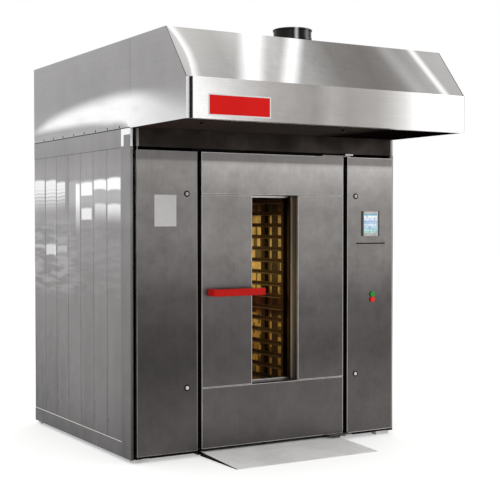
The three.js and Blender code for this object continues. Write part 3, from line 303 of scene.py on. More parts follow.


# The satin sheet's tones are painted light and shade: lighter high up, greying towards the floor,
# and painted darker on the front post and low at the rear.
casing_tones = [
    (0.0, "535151"), (0.1, "575555"), (0.5, "666363"), (0.95, "737070"), (1.2, "7d7a7a"), (1.4, "888686"),
    (1.5, "858383"), (1.56, "949292"), (1.9, "989696"), (2.03, "8c8a8a"), (2.12, "8f8d8e"),
]
shade = (("Y", -0.345, -0.33, 0.8), ("Y-Z", 1.05, 0.05, 0.55))
satin_casing = sheet_steel(
    "satin_stainless_casing", casing_tones, "Z", fade="Z", patch=0.6, pull=0.008,
    painted_reflection=plank_painted_reflection, painted_shade=shade,
)
rear_casing = sheet_steel("satin_stainless_rear", casing_tones, "Z", fade="Z", patch=0.8, pull=0.006)
dress(satin_casing, "left_side_panel", "right_side_panel")
dress(rear_casing, "rear_panel", "roof_deck")


def plain_mesh(name, mesh, finish, body):
    """A finished piece: its mesh in place, its material and the body that it moves with."""
    mesh.name = name
    mesh.materials.clear()
    mesh.materials.append(finish)
    piece = bpy.data.objects.new(name, mesh)
    scene.collection.objects.link(piece)
    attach(piece, body)
    return piece


# A domed rivet head: a flattened ball, half of it sunk in the sheet.
rivet_tree = bpy.data.node_groups.new("domed_rivets", "GeometryNodeTree")
rivet_tree.interface.new_socket(name="Geometry", in_out="OUTPUT", socket_type="NodeSocketGeometry")
for name, kind in (
    ("Geometry", "Geometry"), ("Head radius", "Float"), ("Head rise", "Float"),
    ("Turn", "Vector"), ("Finish", "Material"),
):
    rivet_tree.interface.new_socket(name=name, in_out="INPUT", socket_type="NodeSocket" + kind)
given = add(rivet_tree, "NodeGroupInput").outputs
round_head = {"Segments": 12, "Rings": 6, "Radius": given["Head radius"]}
ball = add(rivet_tree, "GeometryNodeMeshUVSphere", round_head)
flat = add(rivet_tree, "ShaderNodeCombineXYZ", (1.0, 1.0, given["Head rise"]))
heads = add(rivet_tree, "GeometryNodeInstanceOnPoints", {
    "Points": given["Geometry"], "Instance": ball, "Rotation": given["Turn"], "Scale": flat,
})
real = add(rivet_tree, "GeometryNodeRealizeInstances", {0: heads})
finished = add(rivet_tree, "GeometryNodeSetMaterial", {"Geometry": real, "Material": given["Finish"]})
add(rivet_tree, "NodeGroupOutput", {0: finished})


def rivets(name, points, radius, rise, turn, finish, body):
    """The rivet heads that the geometry tree makes at the given points."""
    seed = bpy.data.meshes.new(name + "_points")
    seed.from_pydata([tuple(point) for point in points], [], [])
    holder = bpy.data.objects.new(name + "_points", seed)
    scene.collection.objects.link(holder)
    grow = holder.modifiers.new("grow", "NODES")
    grow.node_group = rivet_tree
    inputs = {"Head radius": radius, "Head rise": rise, "Turn": turn, "Finish": finish}
    for item in rivet_tree.interface.items_tree:
        if item.name in inputs:
            grow[item.identifier] = inputs[item.name]
    bpy.context.view_layer.update()
    ready = holder.evaluated_get(bpy.context.evaluated_depsgraph_get())
    mesh = bpy.data.meshes.new_from_object(ready)
    bpy.data.objects.remove(holder)
    plain_mesh(name, mesh, finish, body)


def plain_finish(name, tones, mottle, rough, surface=(), skin=None, stretch=(1, 1, 1)):
    """A finish with one even mottle, which sways its tone, its roughness and its skin.

    tones are one colour, or a dark and a light one, and rough one figure, or the least and the
    most. mottle is its patches per metre, where 400 makes them 2.5 mm wide, their detail and their
    unevenness; stretch multiplies the patches along each axis. Real grit and pores are under 1 mm
    wide, and are drawn coarser to show. skin is how strong and how deep, in metres, the bumps are."""
    made, tree = material(name)
    place = add(tree, "ShaderNodeTexCoord").outputs["Object"]
    place = add(tree, "ShaderNodeMapping", {"Vector": place, "Scale": stretch})
    noise = dict(zip(("Scale", "Detail", "Roughness"), mottle))
    patches = add(tree, "ShaderNodeTexNoise", {"Vector": place, **noise})
    look = dict(surface)
    look["Base Color"] = linear(tones[0])
    if len(tones) == 2:
        look["Base Color"] = add(tree, "ShaderNodeValToRGB", {0: patches}, zip((0.0, 1.0), tones))
    if "Emission Strength" in look:
        look["Emission Color"] = look["Base Color"]
    look["Roughness"] = rough[0]
    if len(rough) == 2:
        look["Roughness"] = add(tree, "ShaderNodeMapRange", (patches, 0.0, 1.0, *rough))
    if skin:
        strength, depth = skin
        bumps = {"Height": patches, "Strength": strength, "Distance": depth}
        look["Normal"] = add(tree, "ShaderNodeBump", bumps)
    add(tree, "ShaderNodeOutputMaterial", {0: add(tree, "ShaderNodeBsdfPrincipled", look)})
    return made


# Polished heads glint. The dark finish is dull and near black; on the rivets, the baffle knobs, the
# top band strips and the hood lips it is painted shade.
bright_fastener = plain_finish(
    "polished_stainless_fastener", ["d4d4d2"], (400.0, 2.0), (0.14, 0.3), {"Metallic": 1.0},
)
dark_fastener_and_shade = plain_finish(
    "dark_steel_fastener_and_painted_shade", ["1f1d1d"], (300.0, 2.0), (0.25, 0.45),
    {"Metallic": 0.5, "Specular IOR Level": 0.1},
)


def skin_over(rings, around=False, capped=True):
    """A mesh over rings of points, each joined to the next one, and the last to the first if around.

    A ring of one point closes to a tip. capped closes the first and the last ring with a face."""
    bm = bmesh.new()
    rows = [[bm.verts.new(point) for point in ring] for ring in rings]
    for low, high in zip(rows, rows[1:] + rows[:1] if around else rows[1:]):
        for i in range(max(len(low), len(high))):
            a, b = low[i % len(low)], low[(i + 1) % len(low)]
            c, d = high[(i + 1) % len(high)], high[i % len(high)]
            bm.faces.new(list(dict.fromkeys((a, b, c, d))))
    if capped:
        bm.faces.new(rows[0])
        bm.faces.new(rows[-1][::-1])
    bmesh.ops.recalc_face_normals(bm, faces=bm.faces)
    mesh = bpy.data.meshes.new("skin")
    bm.to_mesh(mesh)
    bm.free()
    return mesh


rear_edge = 1754


def fold_strip(name, side, start, z, height, finish):
    """The folded edge of a sheet, as a thin strip with a bevelled face along a side of the oven."""
    inner, outer, bevel = 1048.7, 1049.6, 0.8
    face = [(inner, z), (outer, z + bevel), (outer, z + height - bevel), (inner, z + height)]
    rings = [[at(side * x, y, level) for x, level in face] for y in (start, rear_edge)]
    plain_mesh(name, skin_over(rings), finish, "cabinet")


rivet_x, before_seam = 1048.6, 18
sides = ((-1, "left"), (1, "right"))
# The bright skirt strip is a painted highlight along the fold; the dark rivet heads and the dark top band
# strip are painted shade.
for side, label in sides:
    outward = (0, side * math.pi / 2, 0)
    foot_row = [at(side * rivet_x, y - before_seam, 231) for y in seams]
    head_row = [at(side * rivet_x, y - before_seam, 2000) for y in seams[1::3]]
    rivets(
        f"casing_rivets_{label}", foot_row + head_row, 0.004, 0.32, outward, dark_fastener_and_shade,
        "cabinet",
    )
    fold_strip(f"skirt_edge_{label}", side, 141.4, 120.3, 5.0, bright_fastener)
    fold_strip(f"top_band_edge_{label}", side, 141.4, 2027.6, 2.0, dark_fastener_and_shade)

# ---- Base, feet and ramp --------------------------------------------------------
# The plinth is a welded ring of box section in the shade of the doors, painted near black as shade.
# The foot blocks and the ramp are bare plate, painted near white as light. The lintel and the baffle
# tray under the hood are satin sheet in deep shade, painted brown and nearly black; the baffle's
# painted shade deepens towards its right end.

plinth_tones = ["090707", "14100f", "1f1b1a"]
shaded_plinth = sheet_steel(
    "shaded_stainless_plinth", plinth_tones, "X", rough=0.5, patch=0.8, metal=0.0, shine=0.04,
)
dusky_lintel = sheet_steel(
    "shaded_stainless_lintel", ["231e1c", "332e2b", "47413e"], "Z", rough=0.4, patch=1.3,
)
baffle_tones = [(-1.05, "352b27"), (0.25, "393430"), (0.5, "0d0807"), (1.05, "060404")]
shaded_baffle = sheet_steel(
    "shaded_stainless_baffle", baffle_tones, "Y", fade="X", rough=0.6, metal=0.0, shine=0.0,
)
# Near white: painted light on the ramp and the foot blocks.
pale_plate_painted_light = sheet_steel(
    "stainless_plate_painted_light", ["efedec", "f8f7f6", "fefefd"], "Y", rough=0.55, patch=0.3, strip=9, metal=0.0,
)
dress(shaded_plinth, "base_frame", "door_frame")
dress(dusky_lintel, "lintel_panel")
dress(shaded_baffle, "hood_baffle")
dress(pale_plate_painted_light, "ramp", "foot_front_left", "foot_front_right", "foot_rear_left", "foot_rear_right")

# The ramp's side faces are covered by thin dark plates, painted shade on the ramp's sides.
for label, x in (("left", -540.7), ("right", 550.7)):
    cheek = [(-477, 0.6), (11.5, 0.6), (11.5, 28.8), (-477, 4.2)]
    rings = [[at(x + shift, y, z) for y, z in cheek] for shift in (-0.5, 0.5)]
    plain_mesh(f"ramp_side_shade_{label}", skin_over(rings), shaded_plinth, "cabinet")

# ---- Front pans ------------------------------------------------------------------
# Brushed stainless pans with a vertical grain, folded back all round. Their tones are painted light
# and shade: a band of painted shadow from the hood along the top, lighter just below it, and darker
# towards the floor. The service door has its own darker tones, painted shade.

front_tones = [
    (0.05, "565352"), (0.25, "575453"), (0.45, "545150"), (0.63, "4c4948"), (0.83, "524f4e"),
    (1.03, "5b5857"), (1.18, "6c6968"), (1.3, "767371"), (1.43, "807d7b"), (1.63, "7f7c7a"),
    (1.76, "8f8c8a"), (1.86, "9f9c9a"), (1.925, "aeaba9"), (1.945, "a5a2a0"), (1.957, "7a7776"),
    (2.01, "7d7a78"),
]
side_door_tones = [
    (0.05, "575453"), (0.3, "4b4847"), (0.6, "3d3a3a"), (0.85, "43403f"), (1.05, "4d4a49"),
    (1.2, "625f5e"), (1.45, "6f6c6b"), (1.65, "777473"), (1.78, "858280"), (1.9, "918e8c"),
    (1.94, "8e8b89"), (1.957, "73706f"), (2.01, "767371"),
]
brushed_front = sheet_steel(
    "brushed_stainless_front", front_tones, "Z", fade="Z", rough=0.33, grain=0.7, strip=5,
)
dusky_front = sheet_steel(
    "brushed_stainless_side_door", side_door_tones, "Z", fade="Z", rough=0.33, grain=0.7, strip=5,
)
dress(brushed_front, "door_top_pan", "door_bottom_pan", "door_left_pan", "door_right_pan", "control_door")
dress(dusky_front, "left_service_door")

# ---- Hood --------------------------------------------------------------------------
# A canopy of satin sheet, its bright tones painted reflections: cheeks, one folded top sheet and a
# front fascia pan, with the corners welded and ground. Domed rivets hold the cheeks along their lower
# edge.

# The slope's and the fascia's tones are a painted reflection of the bright room from end to end,
# with a dark stretch between; the cheeks' tones, lighter low down, are painted light too.
slope_tones = [
    (-1.05, "a3a1a0"), (-0.99, "aaa8a6"), (-0.93, "9f9d9b"), (-0.75, "989694"), (-0.62, "a7a5a3"),
    (-0.36, "b6b4b2"), (-0.12, "9c9a98"), (0.08, "7c7977"), (0.35, "736f6d"), (0.6, "888583"),
    (0.8, "aeacaa"), (1.05, "b9b7b5"),
]
fascia_tones = [
    (-1.05, "fbfbfa"), (-0.93, "f0efee"), (-0.75, "d2d0ce"), (-0.5, "a9a6a4"), (-0.3, "9a9795"),
    (-0.18, "938f8d"), (-0.05, "a5a2a0"), (0.08, "979492"), (0.3, "9f9c9a"), (0.42, "b5b3b1"),
    (0.52, "cfcdcb"), (0.64, "f3f3f2"), (0.72, "ffffff"), (1.05, "f6f6f5"),
]
cheek_tones = [(2.147, "acaaab"), (2.2, "a3a1a2"), (2.4, "979596"), (2.55, "989697"), (2.715, "9c9a9b")]


def slope_painted_highlights(tree, place):
    """Painted highlights, streaks of light down the canopy: place at mid height, lean, half width and
    strength.
    """
    x, _, z = add(tree, "ShaderNodeSeparateXYZ", {0: place}).outputs
    # At the left end the light has a curved edge, farthest in where the canopy is 2.52 m up.
    drop = add(tree, "ShaderNodeMath", (z, 2.52), operation="SUBTRACT")
    curve = add(tree, "ShaderNodeMath", (drop, 2.0), operation="POWER")
    arc = add(tree, "ShaderNodeMath", (curve, 1.3, 0.982), operation="MULTIPLY_ADD")
    arc = add(tree, "ShaderNodeMath", (x, arc), operation="ADD")
    total = gated(tree, 0.45, (arc, -0.016, 0.0), (arc, 0.06, 0.0))
    mid_height = 2.55
    for middle, lean, half, strength in (
        (-0.53, 0.47, 0.13, 0.95),
        (-0.243, 0.62, 0.1, 1.0),
        (0.8465, -0.28, 0.055, 1.0),
        (0.62, -0.3, 0.12, 0.18),
    ):
        leant = add(tree, "ShaderNodeMath", (z, -lean, x), operation="MULTIPLY_ADD")
        off = add(tree, "ShaderNodeMath", (leant, lean * mid_height - middle), operation="ADD")
        off = add(tree, "ShaderNodeMath", {0: off}, operation="ABSOLUTE")
        streak = gated(tree, strength, (off, 0.0, half, 1.0, 0.0))
        total = add(tree, "ShaderNodeMath", (streak, total), operation="MAXIMUM")
    return total


def curve_of(tree, value, points):
    """A height along the hood through given (length, height) points, in metres."""
    reach, base, rise = 1.3, 2.0, 0.8
    share = add(tree, "ShaderNodeMapRange", (value, -reach, reach))
    bend = add(tree, "ShaderNodeFloatCurve", {"Value": share})
    spots = bend.mapping.curves[0].points
    for i, (length, height) in enumerate(points):
        spot = ((length + reach) / (2 * reach), (height - base) / rise)
        if i < 2:
            spots[i].location = spot
        else:
            spots.new(*spot)
    bend.mapping.update()
    return add(tree, "ShaderNodeMath", (bend, rise, base), operation="MULTIPLY_ADD")


def cheek_painted_reflection(tree, place):
    """A painted reflection of the floor in the sagging cheek: one bright band, highest at the joint between
    its sheets.
    """
    _, y, z = add(tree, "ShaderNodeSeparateXYZ", {0: place}).outputs
    top = curve_of(tree, y, [
        (-1.3, 2.2), (-1.03, 2.27), (-0.86, 2.31), (-0.65, 2.345), (-0.44, 2.362), (0.0, 2.362),
        (0.5, 2.34), (0.92, 2.3), (1.15, 2.25), (1.3, 2.21),
    ])
    low = curve_of(tree, y, [
        (-1.3, 2.08), (-0.5, 2.08), (-0.42, 2.165), (-0.07, 2.195), (0.3, 2.215), (0.92, 2.222), (1.3, 2.222),
    ])
    under = add(tree, "ShaderNodeMath", (top, z), operation="SUBTRACT")
    under = gated(tree, under, (y, -1.2, -0.5, 0.45, 1.0))
    over = add(tree, "ShaderNodeMath", (z, low), operation="SUBTRACT")
    where = add(tree, "ShaderNodeMapping", {"Vector": place, "Scale": (0.0, 2.0, 11.0)})
    ripple = add(tree, "ShaderNodeTexNoise", {"Vector": where, "Scale": 1.0, "Detail": 2.0})
    weak_spots = (ripple, 0.3, 0.55, 0.86, 1.0), (y, -1.1, -0.3, 0.5, 1.0)
    return gated(tree, 1.0, (under, -0.05, 0.05), (over, -0.025, 0.04), *weak_spots)


slope_steel = sheet_steel(
    "satin_stainless_canopy_painted_light", slope_tones, "X", fade="X", rough=0.28, patch=0.35, grain=0.5,
    pull=0.003, strip=7, painted_reflection=slope_painted_highlights,
)
fascia_steel = sheet_steel(
    "satin_stainless_fascia_painted_light", fascia_tones, "X", fade="X", rough=0.28, patch=0.4, grain=0.6,
    pull=0.003, strip=7,
)
cheek_steel = sheet_steel(
    "satin_stainless_hood_cheek", cheek_tones, "Y", fade="Z", rough=0.3, patch=0.45, grain=0.7, pull=0.004,
    strip=7, painted_reflection=cheek_painted_reflection,
)
dress(slope_steel, "hood_top_sheet")
dress(fascia_steel, "hood_fascia")
dress(cheek_steel, "hood_cheek_left", "hood_cheek_right")
# The hood rivets' dark heads are painted shade, and the dark lip strip along each cheek's lower edge is
# painted shadow.
for side, label in sides:
    outward = (0, side * math.pi / 2, 0)
    row = [at(side * rivet_x, y, 2163) for y in (1547, 1347, 1156, 950, 759, 561, 361, 167)]
    rivets(
        f"hood_rivets_{label}", row, 0.0085, 0.15, outward, dark_fastener_and_shade, "cabinet",
    )
    fold_strip(f"hood_lip_{label}", side, 0.5, 2147.2, 6.5, dark_fastener_and_shade)


def smooth(mesh, angle=35):
    mesh.shade_smooth()
    mesh.set_sharp_from_angle(angle=math.radians(angle))
    return mesh


def bent_bar(path, outline, up):
    """A closed bar: an outline of (across, up) points carried along a path."""
    rings = []
    for i, point in enumerate(path):
        ahead = (path[min(i + 1, len(path) - 1)] - path[max(i - 1, 0)]).normalized()
        across = ahead.cross(up).normalized()
        level = across.cross(ahead).normalized()
        rings.append([point + across * a + level * b for a, b in outline])
    return smooth(skin_over(rings))


def rounded(width, height, radius, steps=4):
    """A rectangle with round corners, as (across, up) points."""
    points = []
    for corner, (sx, sy) in enumerate(((1, 1), (-1, 1), (-1, -1), (1, -1))):
        for i in range(steps + 1):
            angle = math.pi / 2 * (corner + i / steps)
            across = sx * (width / 2 - radius) + radius * math.cos(angle)
            points.append((across, sy * (height / 2 - radius) + radius * math.sin(angle)))
    return points


def turned_piece(profile, place, axis, steps=32):
    """A turned piece: (radius, height) points about an axis through a place."""
    turn = Vector(axis).to_track_quat("Z", "Y")
    angles = [2 * math.pi * i / steps for i in range(steps)]
    rings = []
    for radius, height in profile:
        round_it = angles if radius else angles[:1]
        spots = [Vector((radius * math.cos(a), radius * math.sin(a), height)) for a in round_it]
        rings.append([place + turn @ spot for spot in spots])
    return smooth(skin_over(rings, capped=False))


def flat_plate(x0, x1, y0, y1, z0, z1, radius, edge):
    """An upright plate with round corners, its front edge bevelled, facing the front."""
    outline = rounded(x1 - x0, z1 - z0, radius)
    small = rounded(x1 - x0 - 2 * edge, z1 - z0 - 2 * edge, max(radius - edge, 0.2))
    x, z = (x0 + x1) / 2, (z0 + z1) / 2
    steps = ((outline, y1), (outline, y0 + edge), (small, y0))
    return smooth(skin_over([[at(x + a, y, z + b) for a, b in shape] for shape, y in steps]), 20)


# Weld beads down the two sloping corners, ground back. Their dark colour is painted shadow along
# the corner seams, with small glints on their ripple.
weld_painted_shadow = plain_finish(
    "stainless_weld_painted_shadow", ["5a5958"], (180.0, 3.0), (0.2, 0.42), {"Metallic": 1.0}, skin=(0.4, 0.0008),
)
bead = rounded(0.005, 0.005, 0.0022, 3)
for side, label in sides:
    corner = [at(side * 1046.4, -765.5, 2392), at(side * 1046.4, -507, 2713.2)]
    weld = bent_bar(corner, bead, Vector((0, 1, 1)))
    plain_mesh(f"hood_weld_{label}", weld, weld_painted_shadow, "cabinet")

# Painted highlights on edges that face the front: near-white strips on the cheeks' flanges, and on the
# posts under the canopy.
edge_highlight = sheet_steel(
    "stainless_edge_painted_highlight", ["efeeed", "f6f5f4", "fefefd"], "Z", rough=0.4, patch=0.3, grain=0.3, metal=0.3,
)
for side, label in sides:
    x0, x1 = sorted((side * 1049, side * 1029))
    flange = flat_plate(x0, x1, -770.6, -769.3, 2149, 2386, 0.4, 0.3)
    plain_mesh(f"cheek_flange_{label}", flange, edge_highlight, "cabinet")
    x0, x1 = sorted((side * 1048.5, side * 1033))
    cap = flat_plate(x0, x1, -1.6, -0.4, 2031, 2145, 0.4, 0.3)
    plain_mesh(f"post_highlight_{label}", cap, edge_highlight, "cabinet")

# Two turned knobs that hold the baffle tray up under the hood.
knob_profile = [
    (0, -0.016), (0.010, -0.016), (0.0135, -0.013), (0.0135, -0.006), (0.010, -0.003), (0.005, -0.002),
    (0.005, 0.0012), (0, 0.0012),
]
# The knobs' dark finish is painted shade under the hood.
for label, x in (("left", -847), ("right", 192)):
    knob = turned_piece(knob_profile, at(x, -580, 2147), (0, 0, 1), 20)
    plain_mesh(f"baffle_knob_{label}", knob, dark_fastener_and_shade, "cabinet")

# Dark matt strips that fill the gaps between the fascia and the cheeks' front flanges: painted
# shade in the gaps.
gap_shade_strip = plain_finish(
    "black_strip_painted_gap_shade", ["121111"], (45.0, 4.0), (0.5, 0.75), {"Specular IOR Level": 0.2},
    skin=(0.2, 0.0005),
)
for side, label in sides:
    lips = [at(side * 1022.4, -781.8, z) for z in (2147.6, 2387.4)]
    seal = bent_bar(lips, rounded(0.0042, 0.028, 0.0015), Vector((0, 1, 0)))
    plain_mesh(f"fascia_gap_shade_{label}", seal, gap_shade_strip, "cabinet")

# ---- Flue ------------------------------------------------------------------------
# Steel pipe in black stove enamel, with a rolled rim and a clamp band. The enamel has dust in
# 70 mm patches and fine pores, drawn 4 mm wide to show, and two sheens of the room are painted
# down the pipe as highlights.

stove_black, tree = material("black_stove_enamel")
place = add(tree, "ShaderNodeTexCoord").outputs["Object"]
dust = add(tree, "ShaderNodeTexNoise", {"Vector": place, "Scale": 14.0, "Detail": 5.0, "Roughness": 0.65})
tone = add(tree, "ShaderNodeValToRGB", {0: dust}, [(0.0, "070708"), (1.0, "131314")])
flue_y = -270
x, y, z = add(tree, "ShaderNodeSeparateXYZ", {0: place}).outputs
from_middle = add(tree, "ShaderNodeMath", (y, at(0, flue_y, 0).y), operation="SUBTRACT")
turn = add(tree, "ShaderNodeMath", (from_middle, x), operation="ARCTAN2")
# Two painted highlights down the pipe, where the room would show in it.
painted_sheen = 0.0
for angle, half, strength in ((-1.93, 0.16, 0.75), (-1.28, 0.24, 0.3)):
    off = add(tree, "ShaderNodeMath", (turn, angle), operation="SUBTRACT")
    off = add(tree, "ShaderNodeMath", {0: off}, operation="ABSOLUTE")
    line = gated(tree, strength, (off, 0.0, half, 1.0, 0.0))
    painted_sheen = add(tree, "ShaderNodeMath", (line, painted_sheen), operation="ADD")
on_pipe = add(tree, "ShaderNodeMath", (z, 2.7), operation="GREATER_THAN")
painted_sheen = add(tree, "ShaderNodeMath", (painted_sheen, on_pipe), operation="MULTIPLY")
lit = add(tree, "ShaderNodeMix", {0: painted_sheen, 6: tone, 7: linear("e4e4e4")}, data_type="RGBA")
pores = add(tree, "ShaderNodeTexNoise", {"Vector": place, "Scale": 260.0, "Detail": 2.0})
coat = add(tree, "ShaderNodeBsdfPrincipled", {
    "Base Color": lit.outputs[2], "Specular IOR Level": 0.15,
    "Roughness": add(tree, "ShaderNodeMapRange", (dust, 0.0, 1.0, 0.22, 0.36)),
    "Normal": add(tree, "ShaderNodeBump", {"Height": pores, "Strength": 0.25, "Distance": 0.0005}),
})
add(tree, "ShaderNodeOutputMaterial", {0: coat})
dress(stove_black, "flue_pipe")
rim_profile = [
    (0.1252, 2.8), (0.129, 2.8025), (0.1303, 2.8075), (0.129, 2.8125), (0.1252, 2.8148), (0.1238, 2.8148),
    (0.1238, 2.8), (0.1252, 2.8),
]
band_profile = [
    (0.1251, 2.738), (0.1275, 2.738), (0.1282, 2.7395), (0.1282, 2.7565), (0.1275, 2.758), (0.1251, 2.758),
    (0.1251, 2.738),
]
for name, profile in (("flue_rim", rim_profile), ("flue_clamp_band", band_profile)):
    turned = turned_piece(profile, at(0, flue_y, 0), (0, 0, 1), 48)
    plain_mesh(name, turned, stove_black, "cabinet")

# ---- Name plate and blank label plate ----------------------------------------------
# The fascia's plate is red vitreous enamel in a bright rim and stays bare. The service
# door carries a bare anodised aluminium data plate on four small rivets.

# The enamel is clouded by its firing in 170 mm patches, and its fine orange peel is drawn 5 mm
# wide to show.
red_enamel, tree = material("red_vitreous_enamel")
place = add(tree, "ShaderNodeTexCoord").outputs["Object"]
depth = add(tree, "ShaderNodeTexNoise", {"Vector": place, "Scale": 6.0, "Detail": 3.0})
peel = add(tree, "ShaderNodeTexNoise", {"Vector": place, "Scale": 220.0, "Detail": 2.0})
coat = add(tree, "ShaderNodeBsdfPrincipled", {
    "Base Color": add(tree, "ShaderNodeValToRGB", {0: depth}, [(0.0, "c9100c"), (1.0, "dd1510")]),
    "Roughness": 0.45, "Specular IOR Level": 0.12,
    "Normal": add(tree, "ShaderNodeBump", {"Height": peel, "Strength": 0.1, "Distance": 0.0004}),
})
add(tree, "ShaderNodeOutputMaterial", {0: coat})


def raised_rim(x0, x1, y0, y1, z0, z1, width, lip):
    """An upright rim: four mitred bars with a rounded front edge."""
    rings = []
    for inset, y in ((0, y1), (0, y0 + lip), (lip, y0), (width - lip, y0), (width, y0 + lip), (width, y1)):
        left, right, low, high = x0 + inset, x1 - inset, z0 + inset, z1 - inset
        rings.append([at(x, y, z) for x, z in ((left, low), (right, low), (right, high), (left, high))])
    return skin_over(rings, around=True, capped=False)


plate = flat_plate(-913, -500, -799, -797.3, 2174, 2288, 3, 0.6)
plate = plain_mesh("name_plate_panel", plate, red_enamel, "cabinet")
rim = raised_rim(-920, -493, -799.9, -797.3, 2167, 2295, 8, 0.8)
rim = plain_mesh("name_plate_rim", rim, bright_fastener, "cabinet")
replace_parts(plate, "name_plate")
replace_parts(rim, "name_plate")

# Rolled aluminium under a clear anodised coat: pale and dull, with a level grain drawn 2 mm high.
anodised_plate = plain_finish(
    "anodised_aluminium_plate", ["b3b1b0", "cbc9c8"], (1.0, 2.0), (0.5,), {"Metallic": 0.3},
    stretch=(30.0, 30.0, 500.0),
)
plate = flat_plate(-894, -737, -31, -29.9, 1521, 1725, 5, 0.3)
plain_mesh("blank_data_plate", plate, anodised_plate, "service_door")
rivets(
    "data_plate_rivets", [at(x, -31, z) for x in (-887, -744) for z in (1528, 1718)], 0.0028, 0.5,
    (math.pi / 2, 0, 0), bright_fastener, "service_door",
)

# ---- Fold edges of the front pans ----------------------------------------------------
# Where the sheet turns back, each pan of the door has a thin light outline, a painted highlight;
# on the service door and the lintel the painted highlight is dimmer.

fold_highlight = sheet_steel(
    "stainless_fold_painted_highlight", ["a19e9c", "bdbab8", "adaaa8", "cfcdcb"], "Z", rough=0.25, patch=0.3, grain=0.0,
)
dim_fold_highlight = sheet_steel(
    "stainless_fold_dim_painted_highlight", ["6b6866", "8f8c8a", "7c7977"], "Z", rough=0.3, patch=0.5, grain=0.0,
)
for name, body, finish, x0, x1, z0, z1 in (
    ("service_door_edges", "service_door", dim_fold_highlight, -1020, -583, 47, 2009),
    ("control_door_edges", "control_door_body", fold_highlight, 620, 1020, 47, 2009),
    ("top_pan_edges", "main_door", fold_highlight, -552, 584, 1734.2, 2009),
    ("left_pan_edges", "main_door", fold_highlight, -552, -167, 457, 1731),
    ("right_pan_edges", "main_door", fold_highlight, 203, 584, 457, 1731),
    ("bottom_pan_edges", "main_door", fold_highlight, -552, 584, 53, 454.6),
):
    edges = raised_rim(x0 + 0.4, x1 - 0.4, -30.5, -30.02, z0 + 0.4, z1 - 0.4, 3.4, 0.4)
    plain_mesh(name, edges, finish, body)
for label, x0, x1 in (("left", -1019.4, -1003), ("right", 1003, 1019.4)):
    fold = flat_plate(x0, x1, -30.6, -30.02, 2031, 2146, 0.4, 0.2)
    plain_mesh(f"lintel_fold_{label}", fold, dim_fold_highlight, "cabinet")

# ---- Door window -------------------------------------------------------------------
# A deep opening lined with sheet painted dark as shade, a bright glazing frame at its back, and one
# pane of tempered glass with a smoky heat-reflecting coat. Black silicone seals the door all round.

# The lining's brown-black is painted shade; bolt, bead and bracket are polished, and the zinc is duller.
lining_tones = ["1b1613", "2b2420", "453b33"]
dark_lining = sheet_steel("shaded_stainless_lining", lining_tones, "Z", rough=0.4, patch=0.8)
trim_tones = ["7d7a78", "a19e9c", "c4c2c0"]
trim_steel = sheet_steel("polished_stainless_trim", trim_tones, "Z", rough=0.22, patch=0.5)
# Near its right end the bead is painted with a dark band and a pale line: painted shade and highlight.
glazing_tones = [
    (-0.167, "c4c2c0"), (0.176, "a19e9c"), (0.181, "231f1b"), (0.196, "2b2621"), (0.199, "b3ada3"),
    (0.203, "c4c2c0"),
]
glazing_bead = sheet_steel(
    "polished_stainless_glazing_bead", glazing_tones, "Z", fade="X", rough=0.22, patch=0.5,
)
zinc_tones = ["6b6866", "a7a5a3", "cfcecc"]
lock_zinc = sheet_steel("satin_zinc_lock", zinc_tones, "X", rough=0.25, patch=0.8)
dress(dark_lining, "door_core")
dress(trim_steel, "latch_bolt", "hinge_bracket_bottom")
dress(glazing_bead, "window_frame")
dress(lock_zinc, "left_lock_upper", "left_lock_lower", "right_lock_upper", "right_lock_lower")
dress(lock_zinc, "hinge_bracket_top")

# Clear but for a film of smoke, which blurs it in 80 mm patches; a flat pane shows no bending.
oven_glass, tree = material("smoked_tempered_glass")
place = add(tree, "ShaderNodeTexCoord").outputs["Object"]
film = add(tree, "ShaderNodeTexNoise", {"Vector": place, "Scale": 12.0, "Detail": 4.0})
pane = add(tree, "ShaderNodeBsdfPrincipled", {
    "Base Color": linear("e9dfc4"), "Transmission Weight": 1.0, "IOR": 1.06, "Specular IOR Level": 0.03,
    "Roughness": add(tree, "ShaderNodeMapRange", (film, 0.4, 0.8, 0.0, 0.03)),
})
add(tree, "ShaderNodeOutputMaterial", {0: pane})
dress(oven_glass, "window_glass")

# The sides of the opening are painted in light and shade: a pale lip in front, a dark band behind
# it, then paler steps.
reveal_tones = [
    (-0.507, "8f8c89"), (-0.496, "7d7976"), (-0.493, "191614"), (-0.47, "24201e"), (-0.466, "3f3b38"),
    (-0.446, "2e2a28"), (-0.442, "625e5b"), (-0.4195, "85817e"),
]
reveal_steel = sheet_steel("satin_stainless_reveal", reveal_tones, "Z", fade="Y", rough=0.4, metal=0.5)
for label, x0, x1 in (("left", -166.2, -164.9), ("right", 200.9, 202.2)):
    lining = flat_plate(x0, x1, -27.5, 57.5, 458, 1730, 0.4, 0.2)
    plain_mesh(f"window_reveal_{label}", lining, reveal_steel, "main_door")

# Silicone: matt black, with a faint nap.
silicone = plain_finish(
    "black_silicone_seal", ["151414"], (90.0, 3.0), (0.55, 0.75), {"Specular IOR Level": 0.3},
    skin=(0.3, 0.0006),
)
dress(silicone, "door_gasket")

# ---- Door handle -------------------------------------------------------------------
# A flat steel tube with rounded corners, in gloss red enamel. It is bent back to its spindle on
# the left and closed square on the right; a round rose covers the hole in the pan.

